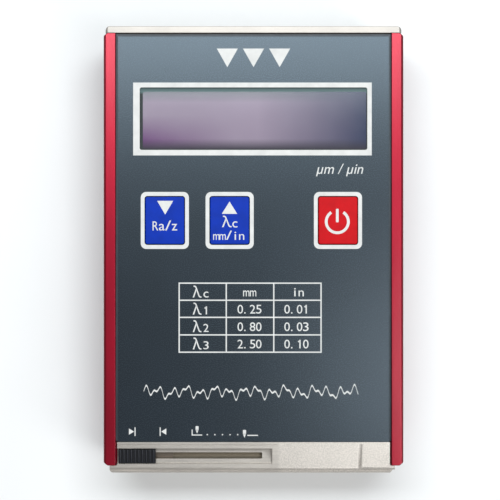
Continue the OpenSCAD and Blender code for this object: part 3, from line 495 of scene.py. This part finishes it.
def softened(node, body, material, edge, chosen=lambda e: True):
    """A copy of a CAD node that stands for it, with soft edges, where chosen, and smooth curves."""
    bm = bmesh.new()
    bm.from_mesh(frame["nodes"][node].data)
    bmesh.ops.remove_doubles(bm, verts=bm.verts[:], dist=MERGE)
    bmesh.ops.dissolve_limit(bm, angle_limit=FLAT, verts=bm.verts[:], edges=bm.edges[:])
    outer = [e for e in bm.edges if e.is_manifold and e.is_convex]
    corners = [e for e in outer if e.calc_face_angle() > SHARP and chosen(e)]
    if edge and corners:
        bmesh.ops.bevel(
            bm, geom=corners, offset=edge, offset_type="OFFSET", segments=2, profile=0.5,
            affect="EDGES", clamp_overlap=True, material=-1,
        )
    low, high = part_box(node)
    for vert in bm.verts:
        vert.co = (min(max(c, a), b) for c, a, b in zip(vert.co, low, high))
    for face in bm.faces:
        face.smooth = True
    made = piece(node + "_skin", bm, body, material)
    made.data.set_sharp_from_angle(angle=SHARP)
    normals = made.modifiers.new("Flat faces", "WEIGHTED_NORMAL")
    normals.keep_sharp = True
    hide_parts(node)


def dress(material, *nodes):
    """Gives CAD nodes a finish."""
    for node in nodes:
        data = frame["nodes"][node].data
        data.materials.clear()
        data.materials.append(material)


# Finishes

# A finish in the making: place is where a point lies on its piece
Finish = namedtuple("Finish", "material tree shader place")

# Parts of a noise's range that are spread over the tones and over the roughness
TONE_CONTRAST = (0.3, 0.7)
GRAIN_CONTRAST = (0.25, 0.75)
EVEN = (1.0, 1.0, 1.0)


def linear(colour):
    """A screen colour as the linear colour of a shader."""
    return (*Color(colour).from_srgb_to_scene_linear(), 1.0)


def shaded(colour, factor):
    """The colour made lighter or darker by a factor."""
    return tuple(min(1.0, channel * factor) for channel in colour)


def add_node(tree, kind, **values):
    """A shader node with its properties set."""
    node = tree.nodes.new(kind)
    for name, value in values.items():
        setattr(node, name, value)
    return node


def plug(tree, socket, value):
    """Links an output to a socket, or sets its value."""
    if isinstance(value, bpy.types.NodeSocket):
        tree.links.new(value, socket)
    else:
        socket.default_value = value


def mixed(skin, factor, first, second):
    """A colour between two others."""
    node = add_node(skin.tree, "ShaderNodeMix", data_type="RGBA")
    plug(skin.tree, node.inputs[0], factor)
    plug(skin.tree, node.inputs[6], first)
    plug(skin.tree, node.inputs[7], second)
    return node.outputs[2]


def multiplied(skin, first, second):
    """The product of two values."""
    node = add_node(skin.tree, "ShaderNodeMath", operation="MULTIPLY")
    plug(skin.tree, node.inputs[0], first)
    plug(skin.tree, node.inputs[1], second)
    return node.outputs[0]


def ranged(skin, value, low, high, to_low=0.0, to_high=1.0):
    """A value moved from one range to another, held at its ends."""
    node = add_node(skin.tree, "ShaderNodeMapRange", clamp=True)
    plug(skin.tree, node.inputs["Value"], value)
    node.inputs["From Min"].default_value = low
    node.inputs["From Max"].default_value = high
    node.inputs["To Min"].default_value = to_low
    node.inputs["To Max"].default_value = to_high
    return node.outputs["Result"]


def noise(skin, size, stretch=EVEN, detail=3.0):
    """A noise with patches of a size in millimetres, drawn out along the axes by stretch."""
    mapping = add_node(skin.tree, "ShaderNodeMapping")
    mapping.inputs["Scale"].default_value = tuple(1.0 / (size * MM * s) for s in stretch)
    skin.tree.links.new(skin.place, mapping.inputs["Vector"])
    node = add_node(skin.tree, "ShaderNodeTexNoise")
    node.inputs["Scale"].default_value = 1.0
    node.inputs["Detail"].default_value = detail
    skin.tree.links.new(mapping.outputs["Vector"], node.inputs["Vector"])
    return node.outputs["Fac"]


def coordinate(skin, axis):
    """One coordinate of the place on the piece, in millimetres."""
    node = add_node(skin.tree, "ShaderNodeSeparateXYZ")
    skin.tree.links.new(skin.place, node.inputs["Vector"])
    return multiplied(skin, node.outputs[axis], 1 / MM)


def stain(skin, factor, colour):
    """Lays another linear colour over a finish by a factor."""
    base = skin.shader.inputs["Base Color"]
    plug(skin.tree, base, mixed(skin, factor, base.links[0].from_socket, colour))


def finish(
    name, colour, spread, roughness, grain, depth, mottle,
    metallic=0.0, specular=0.5, stretch=EVEN, coat=(0.0, 0.0),
):
    """A finish that drifts between a darker and a lighter tone of a screen colour, with a fine grain.

    spread is how far the tones lie from the colour, roughness a range, and coat a weight and a
    roughness. grain and mottle are the sizes of the bumps and of the patches of tone, and depth the
    height of the bumps, all in millimetres.
    """
    material = bpy.data.materials.new(name)
    material.use_nodes = True
    tree = material.node_tree
    shader = tree.nodes["Principled BSDF"]
    shader.inputs["Metallic"].default_value = metallic
    shader.inputs["Specular IOR Level"].default_value = specular
    shader.inputs["Coat Weight"].default_value = coat[0]
    shader.inputs["Coat Roughness"].default_value = coat[1]
    made = Finish(material, tree, shader, add_node(tree, "ShaderNodeTexCoord").outputs["Object"])
    tone = ranged(made, noise(made, mottle, stretch), *TONE_CONTRAST)
    dark, light = (linear(shaded(colour, 1 + change)) for change in (-spread, spread))
    plug(tree, shader.inputs["Base Color"], mixed(made, tone, dark, light))
    bumps = noise(made, grain, stretch)
    plug(tree, shader.inputs["Roughness"], ranged(made, bumps, *GRAIN_CONTRAST, *roughness))
    relief = add_node(tree, "ShaderNodeBump")
    relief.inputs["Strength"].default_value = 1.0
    relief.inputs["Distance"].default_value = depth * MM
    tree.links.new(bumps, relief.inputs["Height"])
    tree.links.new(relief.outputs["Normal"], shader.inputs["Normal"])
    return made


# Pieces


class TESTER_OT_case(bpy.types.Operator):
    """Dress the red extruded case, drawn out along its length"""

    bl_idname = "tester.case"
    bl_label = "Case"

    def execute(self, context):
        look = context.scene.tester_finish
        red = finish(
            "Red anodised aluminium", look.red, spread=0.06, roughness=(0.38, 0.46), grain=0.12,
            depth=0.004, mottle=4.0, metallic=1.0, stretch=(1.0, 8.0, 1.0), coat=(0.4, 0.24),
        )
        softened("case_channel", "case", red.material, look.rail_edge)
        return {"FINISHED"}


class TESTER_OT_caps(bpy.types.Operator):
    """Dress the two blasted silver end caps, their screws and the charging socket"""

    bl_idname = "tester.caps"
    bl_label = "End caps"

    def execute(self, context):
        look = context.scene.tester_finish
        silver = finish(
            "Blasted silver", look.silver, spread=0.025, roughness=(0.38, 0.52), grain=0.16,
            depth=0.012, mottle=6.0, metallic=0.9,
        )
        self.wear_and_slot_shade(silver, look.silver)
        fine = finish(
            "Fine blasted silver", look.silver, spread=0.02, roughness=(0.5, 0.6), grain=0.12,
            depth=0.006, mottle=6.0, metallic=0.9,
        )
        softened("top_cap", "case", fine.material, look.edge)
        softened("bottom_cap", "case", silver.material, look.edge)
        steel = finish(
            "Bright steel", STEEL, spread=0.06, roughness=(0.18, 0.3), grain=0.3,
            depth=0.002, mottle=3.0, metallic=1.0,
        )
        softened("charge_socket", "case", steel.material, 0.0)
        screw = finish(
            "Screw steel", SCREW_STEEL, spread=0.06, roughness=(0.22, 0.34), grain=0.3,
            depth=0.002, mottle=3.0, metallic=1.0,
        )
        self.cross_shade(screw)
        softened("top_screws", "case", screw.material, 0.0)
        softened("bottom_screws", "case", screw.material, 0.0)
        return {"FINISHED"}

    def cross_shade(self, screw):
        """Paint shade into the deep cross of each screw's head."""
        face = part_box("top_screws")[1].y / MM
        reach = add_node(screw.tree, "ShaderNodeMath", operation="ABSOLUTE")
        plug(screw.tree, reach.inputs[0], coordinate(screw, "Y"))
        deep_shade = ranged(screw, reach.outputs[0], face - CROSS_SHADE_DEPTH[0], face - CROSS_SHADE_DEPTH[1])
        stain(screw, deep_shade, linear(SCREW_CROSS_SHADE))

    def wear_and_slot_shade(self, skin, silver):
        """Blasted speckle, a smoother milled field round the slider, and painted shade down in the slot.
        """
        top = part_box("bottom_cap")[1].z / MM
        slot = narrowed(flat_box("slider_knob"), *evenly(SLOT_SHADE_INSET))[1]
        x, y, z = (coordinate(skin, axis) for axis in "XYZ")

        front = ranged(skin, z, top - MILLED_DEPTH[0], top - MILLED_DEPTH[1])
        milled = multiplied(skin, ranged(skin, x, *MILLED_END), front)
        speckle = ranged(skin, noise(skin, SPECKLE_SIZE, detail=2.0), *SPECKLE_CONTRAST)
        strength = ranged(skin, milled, 0.0, 1.0, *SPECKLE_STRENGTH)
        stain(skin, multiplied(skin, speckle, strength), linear(shaded(silver, SPECKLE_SHADE)))

        streaks = ranged(skin, noise(skin, STREAK_SIZE, STREAK_STRETCH), *STREAK_CONTRAST)
        faint = multiplied(skin, multiplied(skin, milled, streaks), STREAK_STRENGTH)
        stain(skin, faint, linear(shaded(silver, STREAK_SHADE)))

        # Painted shade down in the slot, lighter at its foot and darker at its head
        above_foot = ranged(skin, y, slot[0], slot[0] + SLOT_SHADE_BLUR)
        below_head = ranged(skin, y, slot[1], slot[1] - SLOT_SHADE_BLUR)
        deep_shade = ranged(skin, z, top - SLOT_SHADE_DEPTH[0], top - SLOT_SHADE_DEPTH[1])
        shade = mixed(skin, ranged(skin, y, *slot), linear(SLOT_SHADE_FOOT), linear(SLOT_SHADE_HEAD))
        stain(skin, multiplied(skin, multiplied(skin, above_foot, below_head), deep_shade), shade)


class TESTER_OT_panel(bpy.types.Operator):
    """Dress the slate overlay and the plate behind it"""

    bl_idname = "tester.panel"
    bl_label = "Front panel"

    def execute(self, context):
        look = context.scene.tester_finish
        slate = finish(
            "Slate overlay film", look.slate, spread=0.05, roughness=(0.25, 0.29), grain=0.25,
            depth=0.0006, mottle=9.0, specular=0.51,
        )
        slate.shader.inputs["Specular Tint"].default_value = OVERLAY_SHEEN
        dress(slate.material, "overlay")
        black = finish(
            "Black moulded plastic", PLATE, spread=0.1, roughness=(0.45, 0.6), grain=0.3,
            depth=0.004, mottle=5.0,
        )
        dress(black.material, "front_plate")
        return {"FINISHED"}


class TESTER_OT_display(bpy.types.Operator):
    """Dress the display's window and panel, and mask the window's border"""

    bl_idname = "tester.display"
    bl_label = "Display"

    def execute(self, context):
        glass = self.glass(context.scene.tester_finish)
        dress(glass.material, "display_window")
        panel = finish(
            "Display panel", DISPLAY_PANEL, spread=0.1, roughness=(0.15, 0.25), grain=0.4,
            depth=0.001, mottle=8.0, coat=(0.3, 0.12),
        )
        dress(panel.material, "oled_panel")
        bm = bmesh.new()
        pierced(bm, (*display_opening(), DISPLAY_CORNER), [(*display_mask(), DISPLAY_CORNER)])
        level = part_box("display_window")[1].z
        printed("window_border", bm, level, "case", self.border().material)
        return {"FINISHED"}

    def glass(self, look):
        """Glass with a painted reflection, mauve to blue along the display, and painted shade at its
        upper and lower edges.
        """
        glass = finish(
            "Display window with painted reflection", look.glass, spread=0.02, roughness=(0.14, 0.16), grain=3.0,
            depth=0.0001, mottle=30.0,
        )
        (left, right), (foot, head) = display_mask()
        x = coordinate(glass, "X")
        y = coordinate(glass, "Y")
        # Painted shade along the upper edge
        head_shade = ranged(glass, y, head - GLASS_HEAD_SHADE_REACH, head, 0.0, GLASS_HEAD_SHADE_STRENGTH)
        stain(glass, head_shade, linear(look.glass_head_shade))
        # Painted reflection that darkens to blue towards the right end
        stain(glass, ranged(glass, x, GLASS_RIGHT_REFLECTION_START, right), linear(look.glass_right_reflection))
        # Painted reflection, more purple at the lower left corner
        corner_reflection_x = ranged(glass, x, left + GLASS_CORNER_REFLECTION_REACH[0], left)
        corner_reflection_y = ranged(glass, y, foot + GLASS_CORNER_REFLECTION_REACH[1], foot + GLASS_CORNER_REFLECTION_FULL)
        stain(glass, multiplied(glass, corner_reflection_x, corner_reflection_y), linear(look.glass_corner_reflection))
        # Painted shade along the lower edge
        stain(glass, ranged(glass, y, foot + GLASS_FOOT_SHADE_REACH, foot), linear(look.glass_foot_shade))
        return glass

    def border(self):
        """Dark ink that is paler along its upper edge, where the glass catches the light."""
        ink = finish(
            "Window border ink", BORDER_INK, spread=0.08, roughness=(0.4, 0.5), grain=0.3,
            depth=0.001, mottle=6.0, specular=0.2,
        )
        inner = display_mask()[1][1]
        outer = display_opening()[1][1]
        y = coordinate(ink, "Y")
        fading = ranged(ink, y, inner, outer, *BORDER_SHEEN_STRENGTH)
        start = ranged(ink, y, inner - BORDER_SHEEN_BLUR, inner)
        stain(ink, multiplied(ink, fading, start), linear(BORDER_SHEEN))
        return ink


def key_finish(name, colour):
    """Smooth coloured key plastic."""
    return finish(
        name, colour, spread=0.05, roughness=(0.3, 0.4), grain=0.35, depth=0.002, mottle=3.0,
        specular=0.1,
    ).material


def ink_finish():
    """White printing ink, made once."""
    found = bpy.data.materials.get("White ink")
    if found:
        return found
    ink = bpy.context.scene.tester_print.ink
    return finish(
        "White ink", ink, spread=0.03, roughness=(0.5, 0.65), grain=0.2, depth=0.001, mottle=2.0,
        specular=0.2,
    ).material


class TESTER_OT_keys(bpy.types.Operator):
    """Dress the three keys and print their symbols"""

    bl_idname = "tester.keys"
    bl_label = "Keys"

    def execute(self, context):
        look = context.scene.tester_finish
        blue = key_finish("Blue key plastic", look.blue)
        red = key_finish("Red key plastic", look.power)
        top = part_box("key_down")[1].z

        def upper(edge):
            return all(v.co.z > top - KEY_TOP_DEPTH * MM for v in edge.verts)

        softened("key_down", "down_key", blue, look.key_edge, upper)
        softened("key_up", "up_key", blue, look.key_edge, upper)
        softened("key_power", "power_key", red, look.key_edge, upper)
        self.print_key("key_down", "down_key", self.down_marks)
        self.print_key("key_up", "up_key", self.up_marks)
        self.print_key("key_power", "power_key", self.power_marks)
        return {"FINISHED"}

    def print_key(self, node, body, marks):
        """Print marks, which are drawn round the origin, on the middle of a key."""
        low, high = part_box(node)
        middle = (low + high) / 2
        bm = bmesh.new()
        marks(bm)
        bmesh.ops.translate(bm, vec=(middle.x, middle.y, 0.0), verts=bm.verts[:])
        printed(body + "_print", bm, high.z, body, ink_finish())

    def down_marks(self, bm):
        """Arrow that points down, over the roughness values."""
        triangle(bm, (-1.8, 2.0), (1.4, 4.63), DOWN)
        spaced(bm, "Ra/z", centre=(0.05, -1.3), pitch=1.5, height=2.15, width=1.36)

    def up_marks(self, bm):
        """Arrow that points up, over the cut-off and its units."""
        triangle(bm, (-1.85, 1.8), (1.55, 4.46), UP)
        words(bm, "λ", centre=(-0.65, -0.25), height=2.75, width=2.3)
        words(bm, "c", centre=(1.25, -0.95), height=1.45, width=1.2)
        spaced(bm, "mm/in", centre=(-0.15, -3.6), pitch=1.5, height=1.98, width=1.3)

    def power_marks(self, bm):
        """Open ring with a bar in its gap."""
        half_gap = 33
        arc(
            bm, centre=(-0.18, -0.3), radius=2.62, stroke=0.66,
            start=90 + half_gap, sweep=360 - 2 * half_gap,
        )
        rectangle(bm, (-0.5, 0.14), (-0.45, 2.75), corner=0.2)


class TESTER_OT_panel_print(bpy.types.Operator):
    """Print the display's frame, the key borders, the table and the slider's marks"""

    bl_idname = "tester.panel_print"
    bl_label = "Panel print"

    def execute(self, context):
        ink = context.scene.tester_print
        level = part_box("overlay")[1].z
        frames = bmesh.new()
        outer = widened(display_opening(), *DISPLAY_FRAME_WIDTHS)
        pierced(frames, (*outer, 0.0), [(*display_opening(), DISPLAY_CORNER)])
        for node in ("key_down", "key_up", "key_power"):
            self.key_border(frames, node)
        self.table(frames, ink.rule / MM)
        self.slider_marks(frames)
        printed("panel_print", frames, level, "case", ink_finish())

        lettering = bmesh.new()
        self.table_words(lettering)
        words(lettering, "μm / μin", centre=(20.4, 18.95), height=3.0, width=11.2, slant=0.25)
        printed("panel_lettering", lettering, level, "case", ink_finish())

        graphics = bmesh.new()
        for x in FINISH_MARKS_X:
            triangle(graphics, (x - FINISH_MARK_W / 2, x + FINISH_MARK_W / 2), FINISH_MARK_Y, DOWN)
        self.profile_trace(graphics, ink.trace / MM)
        printed("panel_graphics", graphics, level, "case", ink_finish())
        return {"FINISHED"}

    def key_border(self, bm, node):
        """White border round a key's opening."""
        hole = narrowed(flat_box(node), *evenly(KEY_FLANGE - KEY_HOLE_GAP))
        outer = widened(hole, *KEY_BORDER_WIDTHS)
        pierced(bm, (*outer, KEY_BORDER_CORNER), [(*hole, KEY_HOLE_CORNER)])

    def table(self, bm, rule):
        """Ruled table of three columns and four rows."""
        whole = ((TABLE_COLUMNS[0], TABLE_COLUMNS[-1]), (TABLE_ROWS[-1], TABLE_ROWS[0]))
        cells = [
            (*narrowed(((left, right), (low, high)), *evenly(rule / 2)), 0.0)
            for left, right in zip(TABLE_COLUMNS, TABLE_COLUMNS[1:])
            for high, low in zip(TABLE_ROWS, TABLE_ROWS[1:])
        ]
        pierced(bm, (*widened(whole, *evenly(rule / 2)), 0.0), cells)

    def table_words(self, bm):
        """Wavelength signs, units and numbers, placed from column middles and the lower lines of rows."""
        columns = zip(TABLE_COLUMNS, TABLE_COLUMNS[1:])
        x, first_x, second_x = ((left + right) / 2 for left, right in columns)
        index_x = x + 0.775
        numeral = {"height": 2.06, "width": 1.3}
        for y, (sign, first, second) in zip(TABLE_ROWS[1:], TABLE_WORDS):
            words(bm, "λ", centre=(x - 1.325, y + 2.05), height=2.85, width=2.1)
            if sign == "c":
                words(bm, "c", centre=(index_x, y + 1.35), height=1.4, width=1.2)
                spaced(bm, first, centre=(first_x - 0.075, y + 1.95), pitch=1.62, **numeral)
                spaced(bm, second, centre=(second_x + 0.15, y + 1.95), pitch=1.48, **numeral)
            else:
                spaced(bm, sign, centre=(index_x, y + 1.65), pitch=1.48, height=1.9, width=1.25)
                spaced(bm, first, centre=(first_x - 0.125, y + 1.93), pitch=1.46, **numeral)
                spaced(bm, second, centre=(second_x - 0.23, y + 1.93), pitch=1.48, **numeral)

    def slider_marks(self, bm):
        """Marks of the measured range and the pictogram of the traverse."""
        for x, arrow_x, turn in RANGE_MARKS:
            rectangle(bm, (x - RANGE_BAR_W / 2, x + RANGE_BAR_W / 2), RANGE_BAR_Y)
            triangle(bm, (x + arrow_x[0], x + arrow_x[1]), RANGE_ARROW_Y, turn)
        # A stylus in its corner, the way it goes and the stylus on the surface
        rectangle(bm, (-14.65, -14.41), (-43.93, -42.5))
        rectangle(bm, (-14.41, -12.15), (-43.93, -43.69))
        needle(bm, (-13.72, -13.0), (-43.5, -41.7))
        first_dot = -10.95
        dot_pitch = 1.8
        for step in range(5):
            disc(bm, first_dot + dot_pitch * step, -43.72, radius=0.17)
        needle(bm, (-2.52, -1.75), (-44.5, -42.6))
        rectangle(bm, (-1.48, 1.07), (-44.02, -43.77))

    def profile_trace(self, bm, width):
        """A roughness profile over its mean line."""
        (left, right), (low, high) = TRACE
        middle = (low + high) / 2
        reach = (high - low) / 2 - width / 2
        made = bmesh.ops.create_grid(bm, x_segments=TRACE_STEPS, y_segments=1, size=0.5)["verts"]
        fit(bm, made, (left, right), (middle - width / 2, middle + width / 2))
        for vert in made:
            x = vert.co.x / MM
            wave = sum(share * math.sin(rate * x + start) for share, rate, start in TRACE_WAVES)
            vert.co.y += wave * reach * MM


class TESTER_OT_slider(bpy.types.Operator):
    """Dress the ridged slider knob and the sheet of the shutter"""

    bl_idname = "tester.slider"
    bl_label = "Slider"

    def execute(self, context):
        look = context.scene.tester_finish
        knob = finish(
            "Knob plastic", look.knob, spread=0.1, roughness=(0.4, 0.55), grain=0.2,
            depth=0.006, mottle=1.5, specular=0.3,
        )
        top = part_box("slider_knob")[1].z / MM
        z = coordinate(knob, "Z")
        worn = ranged(knob, z, top - KNOB_WEAR_DEPTH, top, 0.0, KNOB_WEAR_STRENGTH)
        scuffs = multiplied(knob, worn, noise(knob, KNOB_WEAR_SIZE))
        stain(knob, scuffs, linear(shaded(look.knob, KNOB_WEAR_SHADE)))
        softened("slider_knob", "slider", knob.material, look.knob_edge)
        sheet = finish(
            "Shutter sheet", SHUTTER_STEEL, spread=0.08, roughness=(0.3, 0.42), grain=0.2,
            depth=0.004, mottle=4.0, metallic=0.7, stretch=(8.0, 1.0, 1.0),
        )
        dress(sheet.material, "shutter")
        return {"FINISHED"}


class TESTER_OT_inside(bpy.types.Operator):
    """Dress what the case holds: boards, battery, drive and pick-up"""

    bl_idname = "tester.inside"
    bl_label = "Inside"

    def execute(self, context):
        looks = {slot: self.plain(*values) for slot, values in INNER_FINISHES.items()}
        looks["circuit_board"] = self.board()
        for slot, name in SHARED_FINISHES.items():
            looks[slot] = bpy.data.materials[name]
        for name, node in frame["nodes"].items():
            slot = node.data.materials[0].name if node.data.materials else ""
            if slot in looks:
                dress(looks[slot], name)
        return {"FINISHED"}

    def plain(self, name, colour, roughness, metallic):
        """A plain finish of an inner part."""
        return finish(
            name, colour, spread=0.07, roughness=roughness, grain=0.3, depth=0.003, mottle=4.0,
            metallic=metallic,
        ).material

    def board(self):
        """Green solder mask with paler copper runs under it."""
        green = finish(
            "Circuit board", BOARD_GREEN, spread=0.1, roughness=(0.3, 0.42), grain=0.3,
            depth=0.002, mottle=5.0,
        )
        runs = ranged(green, noise(green, BOARD_RUN_SIZE, BOARD_RUN_STRETCH), *BOARD_RUN_CONTRAST)
        stain(green, runs, linear(BOARD_RUNS))
        return green.material


# Stage


def soft_light(name, power, size, place, aim, tint=(1.0, 1.0, 1.0)):
    """A large rectangular light, its sizes and places in metres."""
    data = bpy.data.lights.new(name, "AREA")
    data.shape = "RECTANGLE"
    data.size, data.size_y = size
    data.energy = power
    data.color = tint
    lamp = bpy.data.objects.new(name, data)
    bpy.context.scene.collection.objects.link(lamp)
    lamp.location = place
    lamp.rotation_euler = (Vector(aim) - Vector(place)).to_track_quat("-Z", "Y").to_euler()
    lamp.visible_camera = False


class TESTER_OT_stage(bpy.types.Operator):
    """Make the pale floor, the soft lights and the camera above the panel"""

    bl_idname = "tester.stage"
    bl_label = "Stage"

    def execute(self, context):
        look = context.scene.tester_stage
        context.scene.view_settings.view_transform = "Standard"
        self.floor(look)
        self.room(look)
        self.lights(look)
        self.camera(look)
        return {"FINISHED"}

    def floor(self, look):
        """A wide pale floor under the tester."""
        bm = bmesh.new()
        bmesh.ops.create_grid(bm, x_segments=1, y_segments=1, size=look.floor_reach)
        mesh = bpy.data.meshes.new("Floor")
        bm.to_mesh(mesh)
        bm.free()
        pale = finish(
            "Pale floor", look.floor, spread=0.01, roughness=(0.6, 0.7), grain=2.0,
            depth=0.002, mottle=80.0,
        )
        mesh.materials.append(pale.material)
        floor = bpy.data.objects.new("Floor", mesh)
        bpy.context.scene.collection.objects.link(floor)

    def room(self, look):
        """Even white light from all round."""
        world = bpy.data.worlds.new("Room")
        world.use_nodes = True
        sky = world.node_tree.nodes["Background"]
        sky.inputs["Color"].default_value = (1.0, 1.0, 1.0, 1.0)
        sky.inputs["Strength"].default_value = look.room_light
        bpy.context.scene.world = world

    def lights(self, look):
        """A window at the display end, a light at the right and a low one at the slider end."""
        soft_light(
            "Window", look.window_power, size=(0.42, 0.14), place=(0.0, 0.17, 0.45),
            aim=(0.0, 0.03, 0.02), tint=(0.9, 0.96, 1.0),
        )
        soft_light(
            "Side", look.side_power, size=(0.13, 0.4), place=(0.22, -0.135, 0.45),
            aim=(0.02, -0.02, 0.02), tint=(0.95, 0.98, 1.0),
        )
        soft_light(
            "Fill", look.fill_power, size=(0.6, 0.12), place=(-0.05, -0.42, 0.15), aim=(0.0, -0.05, 0.01)
        )

    def camera(self, look):
        """A camera that looks straight down on the panel."""
        data = bpy.data.cameras.new("Camera")
        data.lens = look.lens
        data.clip_start = 0.01
        away = look.view_width * data.lens / data.sensor_width
        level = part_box("overlay")[1].z
        camera = bpy.data.objects.new("Camera", data)
        bpy.context.scene.collection.objects.link(camera)
        camera.matrix_world = Matrix.Translation((look.camera_x, 0.0, level + away))
        bpy.context.scene.camera = camera


class TESTER_PT_sidebar(bpy.types.Panel):
    """Settings and steps of the tester"""

    bl_idname = "TESTER_PT_sidebar"
    bl_label = "Surface roughness tester"
    bl_space_type = "VIEW_3D"
    bl_region_type = "UI"
    bl_category = "Tester"

    def draw(self, context):
        for name, kind in GROUPS.items():
            group = getattr(context.scene, name)
            box = self.layout.box()
            for setting in kind.__annotations__:
                box.prop(group, setting)
        for step in STEPS:
            self.layout.operator(step.bl_idname)


STEPS = (
    TESTER_OT_case,
    TESTER_OT_caps,
    TESTER_OT_panel,
    TESTER_OT_display,
    TESTER_OT_keys,
    TESTER_OT_panel_print,
    TESTER_OT_slider,
    TESTER_OT_inside,
    TESTER_OT_stage,
)
GROUPS = {
    "tester_finish": TesterFinishSettings,
    "tester_print": TesterPrintSettings,
    "tester_stage": TesterStageSettings,
}


def register():
    for group in GROUPS.values():
        bpy.utils.register_class(group)
    for name, group in GROUPS.items():
        setattr(bpy.types.Scene, name, PointerProperty(type=group))
    for step in (*STEPS, TESTER_PT_sidebar):
        bpy.utils.register_class(step)


def unregister():
    for step in (TESTER_PT_sidebar, *reversed(STEPS)):
        bpy.utils.unregister_class(step)
    for name, group in GROUPS.items():
        delattr(bpy.types.Scene, name)
        bpy.utils.unregister_class(group)


def main():
    register()
    bpy.ops.tester.case()
    bpy.ops.tester.caps()
    bpy.ops.tester.panel()
    bpy.ops.tester.display()
    bpy.ops.tester.keys()
    bpy.ops.tester.panel_print()
    bpy.ops.tester.slider()
    bpy.ops.tester.inside()
    bpy.ops.tester.stage()


if __name__ == "__main__":
    main()
